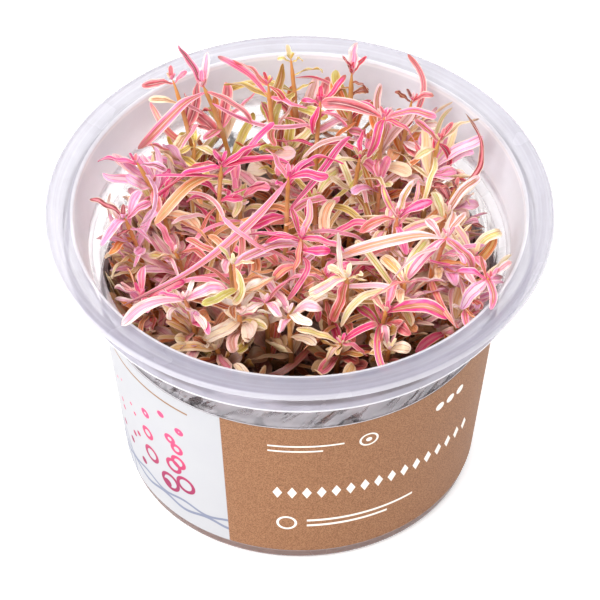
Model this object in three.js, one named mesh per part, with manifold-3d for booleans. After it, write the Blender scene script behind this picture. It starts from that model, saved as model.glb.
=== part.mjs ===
// A tissue-culture cup of narrow-leaved pink hygrophila: a clear moulded cup with a wrap label, a disc of
// nutrient gel, a mat of roots and old growth on the gel, and the young shoots that stand on the mat.
// Millimetres, +Z up, +Y away from the front, origin at the centre of the cup's base.
import * as THREE from "three";
import { mergeVertices } from "three/addons/utils/BufferGeometryUtils.js";
import Module from "manifold-3d";

const wasm = await Module();
wasm.setup();

// Cup: a flat sealing flange, a short skirt under it, a stacking shoulder and a tapered body
const CUP_HEIGHT = 63;
const RIM_RADIUS = 50;
const RIM_EDGE = 0.4;
const FLANGE_INNER_RADIUS = 44.3;
const FLANGE_THICKNESS = 1.4;
const SKIRT_RADIUS = 46.5;
const SKIRT_BOTTOM = 54.2;
const SKIRT_DRAFT = 0.3;
const WALL = 0.9;
const SHOULDER_Z = 52;
const SHOULDER_WIDTH = 1.5;
const SHOULDER_STEP = 0.6;
const BODY_TOP_RADIUS = 40.2;
const BODY_BOTTOM_RADIUS = 34.1;
const BASE_ROUND = 1.6;
const FLOOR_ROUND = 1.2;
const ARC_STEPS = 2;
const CUP_SIDES = 32;

// Label: a film band wrapped round the body
const LABEL_BOTTOM = 3.2;
const LABEL_TOP = 42.6;
const LABEL_THICKNESS = 0.35;

// Gaps that keep neighbouring pieces apart
const GAP = 0.3;
const MAT_GAP = 0.6;

// Gel and the mat of roots on it
const GEL_TOP = 12;
const GEL_GAP = 0.5;
const MAT_SIDES = 24;
const MAT_TOP = 34;
const MAT_FALL = 4;
const MAT_BUMP = 0.8;
const MAT_RINGS = [35.9, 28, 21, 14, 7, 0];

// Shoots: square stems that bend at a knee and end in a bud, with flat keeled leaves
const STEM_HALF = 0.72;
const KNEE_LEAN = 0.25;
const KNEE_RISE = 0.6;
const BUD = 1.8;
const BUD_SHOULDER = 0.55;
const LEAF_KEEL = 0.36;
const LEAF_ROOTING = 0.45;
const LONG_LEAF = 10.5;

// Room between leaves: each leaf is stood for by balls along its middle line, and so is each stem
const LEAF_BALL_STEP = 2.2;
const LEAF_BALLS_LEAST = 4;
const LEAF_BALL_SHARE = 0.42;
const LEAF_SWELL = 1.9;
const LEAF_NARROWING = 2.4;
const LEAF_PAST_TIP = 0.12;
const STEM_BALLS = 14;
const STEM_BALL = 0.9;
const LEAF_CLEARANCE = 0.35;
const WALL_CLEARANCE = 0.6;
const RIM_CLEARANCE = 0.4;
const MAT_CLEARANCE = 0.2;
const LEAF_TRIES = 18;
const TURN_STEP = 0.16;
const SHRINK_STEP = 0.02;
const FINEST = 0.06;

// Leaves that grow by rule: their arch, sway and width, and the two pairs low on each stem
const GROWN = { archShare: 0.06, arch: 0.6, sway: 0.8, width: 1.7, widthSpan: 1.1, droop: 1 };
const WANDER = 0.5;
const LOWER = { shares: [0.3, 0.56], length: 6.5, lengthSpan: 4.5, pitch: 0.1, pitchSpan: 0.5 };
const LOWER_SEED = 201;

// Young shoots, set on a spiral between the tall ones, and lower where they near the front
const YOUNG = {
  count: 21, spread: 31, start: 0.4, spacing: 3.1, step: 0.17, goes: 24,
  height: 49, heightSpan: 10, frontFrom: -8, frontFall: 0.28, lean: 1.08, leanSpan: 0.1,
  length: 6, lengthSpan: 6, pitch: 0.15, pitchSpan: 0.75, pairDrop: 1.6,
};
const GOLDEN_ANGLE = Math.PI * (3 - Math.sqrt(5));

const COLOURS = {
  cup: 0xe6e4ec,
  label: 0xa98562,
  gel: 0x8b7468,
  mat: 0x6d4f3c,
  leaves: [0xe89bb5, 0xd9607f, 0xf0c9cf, 0xc98f6a, 0xe7b7a0, 0xd47fa8],
};

// The cup's outside and inside radius at a height
const TAPER = (BODY_TOP_RADIUS - BODY_BOTTOM_RADIUS) / (SHOULDER_Z - BASE_ROUND);

function bodyRadius(z) {
  return BODY_BOTTOM_RADIUS + (z - BASE_ROUND) * TAPER;
}

function innerRadius(z) {
  if (z < SHOULDER_Z) {
    return bodyRadius(z) - WALL;
  }
  const rise = (z - SHOULDER_Z) / (CUP_HEIGHT - SHOULDER_Z);
  const low = BODY_TOP_RADIUS + SHOULDER_WIDTH - WALL;
  return Math.min(FLANGE_INNER_RADIUS, low + rise * (FLANGE_INNER_RADIUS - low));
}

// The height of the root mat under a point
function matHeight(x, y) {
  const fall = (x * x + y * y) / (MAT_RINGS[0] * MAT_RINGS[0]);
  return MAT_TOP - MAT_FALL * fall + MAT_BUMP * Math.sin(0.24 * x + 1) * Math.cos(0.22 * y);
}

// A closed profile of [radius, height] points turned about the Z axis
function turned(profile, sides) {
  const points = profile.map(([r, z]) => new THREE.Vector2(r, z));
  return new THREE.LatheGeometry(points, sides).rotateX(Math.PI / 2);
}

// Points of a quarter arc about a centre, from one angle to the next, in radians
function arc(centre, radius, from, to) {
  const points = [];
  for (let i = 0; i <= ARC_STEPS; i++) {
    const angle = from + ((to - from) * i) / ARC_STEPS;
    points.push([centre[0] + radius * Math.cos(angle), centre[1] + radius * Math.sin(angle)]);
  }
  return points;
}

function solid(geometry) {
  const bare = geometry.clone();
  bare.deleteAttribute("normal");
  bare.deleteAttribute("uv");
  const merged = mergeVertices(bare, 1e-4);
  const mesh = new wasm.Mesh({
    numProp: 3,
    vertProperties: merged.attributes.position.array,
    triVerts: new Uint32Array(merged.index.array),
  });
  return new wasm.Manifold(mesh);
}

function geometryOf(body) {
  const mesh = body.getMesh();
  const positions = new Float32Array(mesh.numVert * 3);
  for (let i = 0; i < mesh.numVert; i++) {
    positions.set(mesh.vertProperties.subarray(i * mesh.numProp, i * mesh.numProp + 3), i * 3);
  }
  const geometry = new THREE.BufferGeometry();
  geometry.setAttribute("position", new THREE.BufferAttribute(positions, 3));
  geometry.setIndex(new THREE.BufferAttribute(mesh.triVerts, 1));
  return geometry.toNonIndexed();
}

const plantCup = new THREE.Group();

function place(name, geometry, colour, roughness, opacity = 1) {
  const flat = geometry.index ? geometry.toNonIndexed() : geometry;
  flat.computeVertexNormals();
  const material = new THREE.MeshStandardMaterial({
    color: colour,
    roughness,
    metalness: 0,
    opacity,
    transparent: opacity < 1,
  });
  const mesh = new THREE.Mesh(flat, material);
  mesh.name = name;
  plantCup.add(mesh);
}

// Cup
function cupGeometry() {
  const underside = CUP_HEIGHT - FLANGE_THICKNESS;
  const skirtFoot = SKIRT_RADIUS - SKIRT_DRAFT;
  const baseCentre = [BODY_BOTTOM_RADIUS - BASE_ROUND, BASE_ROUND];
  const floorCentre = [bodyRadius(WALL + FLOOR_ROUND) - WALL - FLOOR_ROUND, WALL + FLOOR_ROUND];
  const outside = [
    [0, 0],
    ...arc(baseCentre, BASE_ROUND, -Math.PI / 2, 0),
    [BODY_TOP_RADIUS, SHOULDER_Z - SHOULDER_STEP],
    [BODY_TOP_RADIUS + SHOULDER_WIDTH, SHOULDER_Z],
    [FLANGE_INNER_RADIUS + WALL, underside],
    [SKIRT_RADIUS - WALL, underside],
    [skirtFoot - WALL, SKIRT_BOTTOM],
    [skirtFoot, SKIRT_BOTTOM],
    [SKIRT_RADIUS, underside],
    [RIM_RADIUS, underside],
    [RIM_RADIUS, CUP_HEIGHT - RIM_EDGE],
    [RIM_RADIUS - RIM_EDGE, CUP_HEIGHT],
  ];
  const inside = [
    [FLANGE_INNER_RADIUS + RIM_EDGE, CUP_HEIGHT],
    [FLANGE_INNER_RADIUS, CUP_HEIGHT - RIM_EDGE],
    [innerRadius(SHOULDER_Z), SHOULDER_Z + SHOULDER_STEP],
    [bodyRadius(SHOULDER_Z) - WALL, SHOULDER_Z - SHOULDER_STEP],
    ...arc(floorCentre, FLOOR_ROUND, 0, -Math.PI / 2),
    [0, WALL],
  ];
  return turned([...outside, ...inside], CUP_SIDES);
}

place("cup", cupGeometry(), COLOURS.cup, 0.25, 0.35);

// Label
function labelGeometry() {
  const near = GAP;
  const far = GAP + LABEL_THICKNESS;
  return turned(
    [
      [bodyRadius(LABEL_BOTTOM) + near, LABEL_BOTTOM],
      [bodyRadius(LABEL_BOTTOM) + far, LABEL_BOTTOM],
      [bodyRadius(LABEL_TOP) + far, LABEL_TOP],
      [bodyRadius(LABEL_TOP) + near, LABEL_TOP],
      [bodyRadius(LABEL_BOTTOM) + near, LABEL_BOTTOM],
    ],
    CUP_SIDES,
  );
}

place("label", labelGeometry(), COLOURS.label, 0.5);

// Gel
function gelGeometry() {
  const bottom = WALL + GAP;
  const low = bodyRadius(bottom + FLOOR_ROUND) - WALL - GEL_GAP;
  return turned(
    [
      [0, bottom],
      [low - FLOOR_ROUND - GEL_GAP, bottom],
      [low, bottom + FLOOR_ROUND + GEL_GAP],
      [bodyRadius(GEL_TOP) - WALL - GEL_GAP, GEL_TOP],
      [0, GEL_TOP],
    ],
    CUP_SIDES,
  );
}

place("gel", gelGeometry(), COLOURS.gel, 0.1, 0.8);

// Root mat: a low uneven disc that fills the cup above the gel
function matGeometry() {
  const bottom = GEL_TOP + GAP;
  const side = bodyRadius(bottom) - WALL - GEL_GAP;
  const top = MAT_RINGS.map((radius) => [radius, MAT_TOP]);
  const geometry = turned([[0, bottom], [side, bottom], ...top], MAT_SIDES);
  const points = geometry.attributes.position;
  for (let i = 0; i < points.count; i++) {
    if (points.getZ(i) === MAT_TOP) {
      points.setZ(i, matHeight(points.getX(i), points.getY(i)) - MAT_GAP);
    }
  }
  return geometry;
}

place("root_mat", matGeometry(), COLOURS.mat, 0.9);

// Shoots. A leaf is [reach right, reach back, reach up, arch, sway, width, drop]: the reach is from its node
// to its tip, arch and sway bend its middle up and to its left, and drop is how far its node is under the
// shoot's tip.
const SHOOTS = [
  { name: "back_left_tall", tip: [-18.7, 29.4, 68], foot: [-11, 27.5], leaves: [
    [-5, 4.3, 8, 0.6, 0.4, 2.2, 0],
    [0.6, 4.2, 6, 0.3, 0, 1.6, 0],
    [-13.5, -7.7, -8, 3, 0.5, 2.6, 1.4],
    [9.3, -7.8, -2, 1.2, 0.4, 1.9, 1],
  ] },
  { name: "back_olive", tip: [-6.1, 29.8, 68], foot: [-4.5, 27], leaves: [
    [-7.1, 3.7, 4, 0.6, 0, 1.8, 0],
    [3.6, -2.7, -2, 0.8, 0, 1.5, 0],
    [-9.3, 2.8, 1, 1, 0, 2.6, 3],
    [7.6, -4, 1, 0.8, -0.5, 2, 3],
  ] },
  { name: "back_small", tip: [-1.6, 37.6, 67], foot: [0.5, 31], leaves: [
    [-2.9, 0.3, 0.8, 0.4, 0, 1.2, 0],
    [2.4, 0, 0.8, 0.4, 0, 1.2, 0],
    [-4.5, -1, 3, 0.5, 0, 1.6, 7],
    [4.2, 0.6, 2, 0.5, 0, 1.6, 7],
  ] },
  { name: "left_star", tip: [-15.4, 9.3, 66], foot: [-16.5, 8.5], leaves: [
    [8.7, 3.2, 4, 0.8, -0.4, 2.6, 0],
    [13.5, -0.2, 1, 1.2, 0, 2.7, 0],
    [-7.5, 0.7, -2, 1.4, 0, 2.1, 0],
    [-13.2, -4.5, -4, 2.4, 0.6, 2.9, 0],
    [-1.5, -0.3, 5, 0, 0.3, 1.4, 0],
    [-13, -8.5, -5, 2.2, -1, 2.6, 2.5],
  ] },
  { name: "left_wide", tip: [-31.6, 12.1, 64], foot: [-24, 13], leaves: [
    [-8.1, -1.1, 2, 0.8, 0, 2.4, 0],
    [5.6, -1.6, 0, 0.6, 0, 1.8, 0],
    [-4.2, 3.6, 1, 0.6, 0, 1.8, 8],
    [1.4, -5.8, -1, 1, 0, 2.2, 8],
  ] },
  { name: "back_left_low", tip: [-24.7, 29.7, 69], foot: [-18, 22.5], leaves: [
    [-6.4, -1.9, 1, 0.6, 0, 2, 0],
    [2.7, 1, 2.4, 0.2, 0, 1.4, 0],
    [-6.4, -0.6, 2, 0.5, 0, 1.8, 5],
    [4.6, -3, 0, 0.6, 0, 1.7, 5],
  ] },
  { name: "left_yellow", tip: [-20.8, 23, 58], foot: [-22, 17.5], leaves: [
    [-4.4, -1.5, 1.5, 0.5, 0, 1.6, 0],
    [4, -1.5, -0.5, 0.6, 0, 1.6, 0],
    [-1.5, 4, 2, 0.4, 0, 1.4, 0],
  ] },
  { name: "back_trident", tip: [10.3, 34.8, 66], foot: [9.5, 29.5], leaves: [
    [-1.7, 1, 5, 0, -0.3, 1.1, 0],
    [2.9, 0.5, 5, 0, 0.3, 1.1, 0],
    [1.2, 3.4, 6, 0, 0, 2.7, 0],
    [3.4, -1, -2, 0.8, 0, 1.8, 1.5],
    [-3.4, -0.4, -2, 0.8, 0, 1.2, 3],
    [3.6, 1.4, 0, 0.8, 0, 1.6, 5],
  ] },
  { name: "right_back_star", tip: [16.6, 22.5, 66], foot: [14.5, 19.5], leaves: [
    [-12.3, 2.2, 2, 1.6, 0, 3, 0],
    [-4.2, -6.2, -4, 1.6, 0, 2.3, 0],
    [10.5, -1.3, 3, 1.2, 0, 2, 0],
    [7.5, -3.9, -5, 2.2, 0, 2.2, 0],
    [2.4, 5.2, 1, 1, 0, 1.8, 3],
  ] },
  { name: "right_cluster", tip: [27.3, 18.1, 64], foot: [23.5, 17], leaves: [
    [7.9, 3.2, 4, 0.8, 0, 2, 0],
    [2.8, 1, 5, 0, 0, 1.4, 0],
    [1.6, -1.6, -8, -0.4, 1.6, 1.8, 0],
    [-4.7, 2.8, 3.4, 0.6, 0, 1.8, 0],
    [-4.4, -3.6, 1, 0.8, 0, 1.8, 2],
  ] },
  { name: "right_maroon_curl", tip: [30.4, 12.6, 56], foot: [27, 11], leaves: [
    [1.8, 7.6, 14, 0, -5, 1.7, 0],
    [-4.8, -1, 2, 0.8, 0, 1.6, 0],
    [3.6, -3.4, 1.6, 0.8, 0, 1.8, 2],
  ] },
  { name: "right_back_small", tip: [22, 29.1, 64], foot: [18.5, 25.5], leaves: [
    [-3.3, 0.2, 3, 0.6, 0, 1.3, 0],
    [4.5, -0.8, 3, 0.7, 0, 1.7, 0],
    [-4.6, 1.6, 1, 0.6, 0, 1.8, 5],
    [5, 1, 0, 0.8, 0, 1.8, 5],
  ] },
  { name: "centre_back", tip: [11.7, 17, 60], foot: [9.5, 14], leaves: [
    [-5, -2.8, 2, 0.6, 0, 2.4, 0],
    [2.5, -2.5, -6, 1, 0, 1.6, 0],
    [1, 4.6, 5, 0.4, 0, 1.8, 0],
    [5.4, 2.2, 2, 0.8, 0, 2, 2],
  ] },
  { name: "centre_back_hot", tip: [4, 26.7, 66], foot: [2.5, 22.5], leaves: [
    [5.1, 3.5, 5, 0.3, -0.6, 1.5, 0],
    [-4, -0.9, 0.5, 0.6, 0, 1.2, 0],
    [-1.4, -2.4, -6, 0.8, 0, 2.4, 0],
    [5.6, -3, -1, 1, 0, 2, 2],
  ] },
  { name: "centre_long_arch", tip: [-2.2, 3.9, 68], foot: [-3, 2], leaves: [
    [-32.8, -23.3, -12, 1, 4.6, 3, 0],
    [8, -0.9, 2, 1, 0, 2.6, 0],
    [-4.6, 6, 3, 0.8, 0, 2, 0],
    [5.2, 6.4, 0, 1, 0.6, 2.2, 2],
  ] },
  { name: "left_loop", tip: [-34, 2.4, 58], foot: [-28.5, 1], leaves: [
    [-7.2, 1.6, 4.2, 1.8, 0, 1.8, 0],
    [-4.6, -7, 0, 2.4, 0, 2.4, 0],
    [5, 3, 2.4, 0.8, 0, 2.2, 0],
    [4.6, -4.6, 0, 1, 0, 2.4, 2],
  ] },
  { name: "front_left_pale", tip: [-22.3, -19.3, 58], foot: [-19, -16], leaves: [
    [7.8, -0.1, 4, 0.6, 0, 2.8, 0],
    [-12.6, -13.4, 7.4, 1.8, 0, 2.9, 0],
    [-4.8, 4.4, 2, 0.8, 0, 1.8, 0],
    [3.4, -5, -1, 1, 0, 2, 3],
  ] },
  { name: "front_cream_tall", tip: [-12.7, -17.9, 66], foot: [-11, -18.5], leaves: [
    [-3, 1.5, 4, 0.2, 0, 1.7, 0],
    [-0.3, -0.6, -9.5, 0, 2, 2.3, 0],
    [4, 0, 1, 0.5, 0, 1.2, 0],
    [-9.3, -2.6, 0, 1.2, 0, 3.2, 16],
    [5.4, -1.8, 0, 0.8, 0, 1.9, 16],
  ] },
  { name: "front_pink_arch", tip: [-6.7, -18.2, 56], foot: [-6, -14.5], leaves: [
    [6.6, 5.6, 10, -0.6, 2.4, 2.6, 0],
    [-5.4, -2.4, 0, 0.8, 0, 2.8, 0],
    [3.4, -4.4, 1, 0.8, 0, 2.2, 0],
  ] },
  { name: "right_hot", tip: [19.1, -1.2, 62], foot: [17, -1], leaves: [
    [6.9, 2.2, 3, 0.8, 0, 2.3, 0],
    [3, 3, 8, 0, 0, 2.2, 0],
    [-3.3, 1.7, 8, 0, 0, 1.6, 0],
    [-7.4, -2.4, -1, 1.4, 0, 2.2, 0],
    [2.2, -6, -2, 1.2, 0, 2.2, 2],
  ] },
  { name: "right_front_star", tip: [28.5, -8.3, 64], foot: [24, -6], leaves: [
    [-7.2, -7.4, -4, 1.4, 0, 2.6, 0],
    [5.3, -5.3, -4, 1.4, 0, 2.2, 0],
    [-21.3, -0.7, -6, 4, 0.6, 2.8, 0],
    [4, 4, 3, 0.6, 0, 1.6, 0],
    [-3.4, 6, 1, 1, 0, 2, 2],
  ] },
  { name: "front_cross", tip: [9.3, -15.3, 60], foot: [9, -11.5], leaves: [
    [-7.2, -3.7, -1, 1, 0, 2.6, 0],
    [3.8, -0.9, 0, 0.5, 0, 1.6, 0],
    [-3.9, 2.4, 1, 0.5, 0, 1.8, 0],
    [-1.5, 4.8, 8, -0.4, 1, 1.4, 0],
    [12.9, -4.1, 2, -1, 0, 2, 8],
    [-2.4, -2.6, -9, 0.6, 0, 2.6, 1],
  ] },
  { name: "front_magenta", tip: [8, -23.2, 50], foot: [7, -19.5], leaves: [
    [7.3, 1.5, 4, 0.8, 0, 3, 0],
    [5.5, -2.4, -1, 0.8, 0, 2, 0],
    [-8.7, 0.8, 3, 1, 0, 1.8, 0],
    [-3.2, -3.6, -4, 1, 0, 3, 0],
  ] },
  { name: "right_rim_star", tip: [36.6, -17.6, 62], foot: [27.5, -13], leaves: [
    [-6.3, 0.2, 2, 0.8, 0, 2.6, 0],
    [0.6, -10.5, 2.4, 2, 0.4, 1.9, 0],
    [-5.1, -6, -2, 1, 0, 3, 0],
    [-1.5, 2.8, 4, 0, 0, 1.2, 0],
    [4.8, 0.5, 5, 0.2, 0, 1.6, 0],
  ] },
  { name: "front_right_broad", tip: [16.8, -17.8, 53], foot: [15, -15.5], leaves: [
    [12.6, -1.4, 1, 1.6, 0, 3.4, 0],
    [-3.8, 4, 2, 0.8, 0, 2, 0],
    [3, 5, 4, 0.6, 0, 2.2, 0],
  ] },
  { name: "centre_star", tip: [0.3, -8.7, 64], foot: [0, -6], leaves: [
    [8.4, -1.8, -2, 1.4, 0, 2.3, 0],
    [2.4, 4, 7, 0, 0, 1.8, 0],
    [-2, 3, 6, 0, 0, 1.6, 0],
    [-7.2, -0.9, 0, 1.2, 0, 2, 0],
    [-1.2, -2.8, -7, 0.6, 0, 1.8, 0],
    [-13.3, -3.9, -2, 2.2, 0, 2.8, 2],
    [-10.3, 1.6, 2, 1.2, 0, 2.2, 1],
  ] },
  { name: "front_right_cream", tip: [17.4, -24, 49], foot: [16.5, -20.5], leaves: [
    [4.4, -0.4, 0.6, 0.6, 0, 2.6, 0],
    [-3.8, -2.4, 1, 0.6, 0, 2, 0],
    [-1, 4, 3, 0.6, 0, 1.8, 0],
  ] },
];

// A repeatable row of numbers from 0 to 1
function randomRow(seed) {
  const [modulus, factor, spread, offset] = [2147483647, 16807, 7919, 104729];
  let state = (seed * spread + offset) % modulus;
  const next = () => {
    state = (state * factor) % modulus;
    return state / modulus;
  };
  next();
  next();
  return next;
}

// A leaf from its direction, length and rise, at a node that is drop under the shoot's tip
function grownLeaf(random, way, length, pitch, drop) {
  const flat = length * Math.cos(pitch);
  const arch = GROWN.archShare * length + GROWN.arch * random();
  const sway = GROWN.sway * (random() - 0.5);
  const width = GROWN.width + GROWN.widthSpan * random();
  const rise = length * Math.sin(pitch) - GROWN.droop;
  return [flat * Math.cos(way), flat * Math.sin(way), rise, arch, sway, width, drop];
}

// Two opposite pairs lower on the stem, the second turned a quarter from the first
function lowerPairs(index, height) {
  const random = randomRow(index + LOWER_SEED);
  const start = 2 * Math.PI * random();
  return [0, 1, 2, 3].map((k) => {
    const pair = Math.floor(k / 2);
    const way = start + Math.PI * (k + 0.5 * pair) + WANDER * (random() - 0.5);
    const length = LOWER.length + LOWER.lengthSpan * random();
    const pitch = LOWER.pitch + LOWER.pitchSpan * random();
    return grownLeaf(random, way, length, pitch, height * LOWER.shares[pair]);
  });
}

function youngShoot(index, feet) {
  const random = randomRow(index + 1);
  const radius = YOUNG.spread * Math.sqrt((index + 0.6) / YOUNG.count);
  let angle = GOLDEN_ANGLE * index + YOUNG.start;
  let foot = [0, 0];
  for (let go = 0; go < YOUNG.goes; go++) {
    foot = [radius * Math.cos(angle), radius * Math.sin(angle)];
    const [x, y] = foot;
    if (feet.every((other) => Math.hypot(x - other[0], y - other[1]) > YOUNG.spacing)) {
      break;
    }
    angle += YOUNG.step;
  }
  const front = Math.max(0, YOUNG.frontFrom - foot[1]) * YOUNG.frontFall;
  const height = YOUNG.height + YOUNG.heightSpan * random() - front;
  const lean = YOUNG.lean + YOUNG.leanSpan * random();
  const tip = [foot[0] * lean + random() - 0.5, foot[1] * lean + random() - 0.5, height];
  const start = 2 * Math.PI * random();
  const leaves = [0, 1, 2, 3].map((k) => {
    const way = start + 0.5 * Math.PI * k + WANDER * (random() - 0.5);
    const length = YOUNG.length + YOUNG.lengthSpan * random();
    const pitch = YOUNG.pitch + YOUNG.pitchSpan * random();
    return grownLeaf(random, way, length, pitch, YOUNG.pairDrop * (k % 2));
  });
  return { name: "young_" + String(index + 1).padStart(2, "0"), tip, foot, leaves };
}

// Stem and leaf centre lines
function stemCurve(shoot) {
  const [x, y] = shoot.foot;
  const foot = new THREE.Vector3(x, y, matHeight(x, y));
  const tip = new THREE.Vector3(...shoot.tip);
  const knee = new THREE.Vector3(
    x + KNEE_LEAN * (tip.x - x),
    y + KNEE_LEAN * (tip.y - y),
    foot.z + KNEE_RISE * (tip.z - foot.z),
  );
  const bud = tip.clone().addScaledVector(tip.clone().sub(knee).normalize(), BUD);
  return new THREE.QuadraticBezierCurve3(foot, knee, bud);
}

function leafCurve(node, reach, arch, sway) {
  const [dx, dy, dz] = reach;
  const flat = Math.hypot(dx, dy) || 1;
  const tip = new THREE.Vector3(node.x + dx, node.y + dy, node.z + dz);
  const bend = new THREE.Vector3(
    node.x + dx / 2 - (2 * sway * dy) / flat,
    node.y + dy / 2 + (2 * sway * dx) / flat,
    node.z + dz / 2 + 2 * arch,
  );
  return new THREE.QuadraticBezierCurve3(node, bend, tip);
}

// Moves the rings of a shape that stands on the Y axis onto a curve, one station a ring from foot to tip;
// side is the direction of its width
function swept(geometry, ringOf, curve, stations, side, halfWidth, halfDepth) {
  const points = geometry.attributes.position;
  for (let i = 0; i < points.count; i++) {
    const [x, y, z] = [points.getX(i), points.getY(i), points.getZ(i)];
    const station = stations[Math.round(ringOf(y))];
    const out = Math.max(1e-6, Math.hypot(x, z));
    const along = curve.getTangent(station.t);
    const normal = new THREE.Vector3().crossVectors(side, along).normalize();
    const centre = curve.getPoint(station.t).addScaledVector(along, -(station.back || 0));
    centre.addScaledVector(side, (x / out) * station.size * halfWidth);
    centre.addScaledVector(normal, (z / out) * station.size * halfDepth);
    points.setXYZ(i, centre.x, centre.y, centre.z);
  }
  return geometry;
}

const LONG_STATIONS = [
  { t: 0, size: 0, back: LEAF_ROOTING },
  { t: 0.36, size: 0.9 },
  { t: 0.66, size: 1 },
  { t: 1, size: 0 },
];
const SHORT_STATIONS = [
  { t: 0, size: 0, back: LEAF_ROOTING },
  { t: 0.58, size: 1 },
  { t: 1, size: 0 },
];

// Everything that leaves keep clear of: balls, marked with the shoot they belong to
const obstacles = [];

function leafBalls(curve, width) {
  const chord = curve.v0.distanceTo(curve.v2);
  const count = Math.max(LEAF_BALLS_LEAST, Math.ceil(chord / LEAF_BALL_STEP));
  const balls = [];
  for (let i = 1; i <= count; i++) {
    const t = i / count;
    const form = Math.min(1, LEAF_SWELL * t, LEAF_NARROWING * (1 + LEAF_PAST_TIP - t));
    balls.push({ at: curve.getPoint(t), radius: LEAF_BALL_SHARE * width * form });
  }
  return balls;
}

function clears(balls, owner) {
  return balls.every(({ at, radius }) => {
    const overRim = at.z > CUP_HEIGHT + radius + RIM_CLEARANCE;
    const insideWall = Math.hypot(at.x, at.y) + radius + WALL_CLEARANCE < innerRadius(at.z);
    const overMat = at.z > matHeight(at.x, at.y) + radius + MAT_CLEARANCE;
    return (overRim || insideWall) && overMat && obstacles.every(
      (other) => other.owner === owner || at.distanceTo(other.at) > radius + other.radius + LEAF_CLEARANCE,
    );
  });
}

// A leaf that would touch another is turned and shortened little by little until it is clear
function fittedLeaf(node, leaf, owner) {
  const [dx, dy, dz, arch, sway, width] = leaf;
  for (let go = 0; go < LEAF_TRIES; go++) {
    const turn = TURN_STEP * Math.ceil(go / 2) * (go % 2 ? 1 : -1);
    const scale = 1 - SHRINK_STEP * go;
    const reach = [
      scale * (dx * Math.cos(turn) - dy * Math.sin(turn)),
      scale * (dx * Math.sin(turn) + dy * Math.cos(turn)),
      scale * dz,
    ];
    const curve = leafCurve(node, reach, scale * arch, scale * sway);
    const balls = leafBalls(curve, width);
    if (clears(balls, owner)) {
      balls.forEach((ball) => obstacles.push({ ...ball, owner }));
      return { curve, reach };
    }
  }
  return null;
}

function leafGeometry({ curve, reach }, width) {
  const flat = Math.hypot(reach[0], reach[1]) || 1;
  const side = new THREE.Vector3(reach[1] / flat, -reach[0] / flat, 0);
  const stations = curve.v0.distanceTo(curve.v2) > LONG_LEAF ? LONG_STATIONS : SHORT_STATIONS;
  const rings = stations.length - 1;
  const blade = new THREE.SphereGeometry(1, 3, rings, -Math.PI / 2);
  const ringOf = (y) => (rings * Math.acos(-y)) / Math.PI;
  const halfWidth = (0.5 * width) / Math.sin(Math.PI / 3);
  return swept(blade, ringOf, curve, stations, side, halfWidth, LEAF_KEEL);
}

const feet = SHOOTS.map((shoot) => shoot.foot);
const young = [];
for (let i = 0; i < YOUNG.count; i++) {
  young.push(youngShoot(i, feet));
  feet.push(young[i].foot);
}

const shoots = [...SHOOTS, ...young].map((shoot) => ({ ...shoot, curve: stemCurve(shoot) }));
shoots.forEach(({ curve }, owner) => {
  for (let i = 0; i <= STEM_BALLS; i++) {
    obstacles.push({ at: curve.getPoint(i / STEM_BALLS), radius: STEM_BALL, owner });
  }
});

function stemGeometry(curve, height) {
  const stations = [
    { t: 0, size: 1 },
    { t: 0.5, size: 0.95 },
    { t: 1 - (BUD_SHOULDER * BUD) / height, size: 0.75 },
    { t: 1, size: 0 },
  ];
  const rings = stations.length - 1;
  const half = STEM_HALF * Math.SQRT2;
  const rod = new THREE.ConeGeometry(1, 1, 4, rings, false, Math.PI / 4);
  const ringOf = (y) => rings * (y + 0.5);
  return swept(rod, ringOf, curve, stations, new THREE.Vector3(1, 0, 0), half, half);
}

shoots.forEach(({ name, curve, leaves }, owner) => {
  const height = curve.v2.z - curve.v0.z;
  let body = solid(stemGeometry(curve, height));
  for (const leaf of [...leaves, ...lowerPairs(owner, height)]) {
    const node = curve.getPoint(1 - (BUD + leaf[6]) / height);
    const fitted = fittedLeaf(node, leaf, owner);
    if (fitted) {
      body = body.add(solid(leafGeometry(fitted, leaf[5])));
    }
  }
  const colour = COLOURS.leaves[owner % COLOURS.leaves.length];
  place("shoot_" + name, geometryOf(body.simplify(FINEST)), colour, 0.5);
});

export default plantCup;
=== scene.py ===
# A cup of narrow-leaved pink hygrophila grown in gel: the moulded cup, its wrap label, the gel, the mat of
# roots and old growth, and the shoots that stand on it. Metres, +Z up, +Y away from the front.
import math
import random

import bmesh
import bpy
import numpy as np
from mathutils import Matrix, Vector


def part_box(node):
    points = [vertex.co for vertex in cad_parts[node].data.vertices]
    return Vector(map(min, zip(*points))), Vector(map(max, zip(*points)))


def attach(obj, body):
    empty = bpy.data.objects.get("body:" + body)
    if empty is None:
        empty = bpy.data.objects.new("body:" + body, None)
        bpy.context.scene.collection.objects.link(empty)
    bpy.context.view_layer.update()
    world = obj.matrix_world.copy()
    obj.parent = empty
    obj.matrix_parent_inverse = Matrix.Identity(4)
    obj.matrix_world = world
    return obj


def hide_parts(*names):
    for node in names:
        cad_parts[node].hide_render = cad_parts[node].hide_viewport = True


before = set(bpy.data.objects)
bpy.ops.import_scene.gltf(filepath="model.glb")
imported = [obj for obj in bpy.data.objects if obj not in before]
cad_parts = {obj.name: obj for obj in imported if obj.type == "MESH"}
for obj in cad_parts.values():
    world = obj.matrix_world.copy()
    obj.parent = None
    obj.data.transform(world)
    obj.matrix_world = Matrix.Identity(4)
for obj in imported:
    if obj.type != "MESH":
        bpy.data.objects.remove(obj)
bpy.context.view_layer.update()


# Cup
# One thin-walled moulding in milky clear polypropylene. A wide flat sealing flange with a turned lip
# carries a short skirt; below a stacking shoulder the wall tapers down to a rounded base.
MM = 0.001
RIM_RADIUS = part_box("cup")[1].x
CUP_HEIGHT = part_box("cup")[1].z
FLANGE_INNER_RADIUS = 44.3 * MM
FLANGE_UNDERSIDE = CUP_HEIGHT - 1.4 * MM
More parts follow.
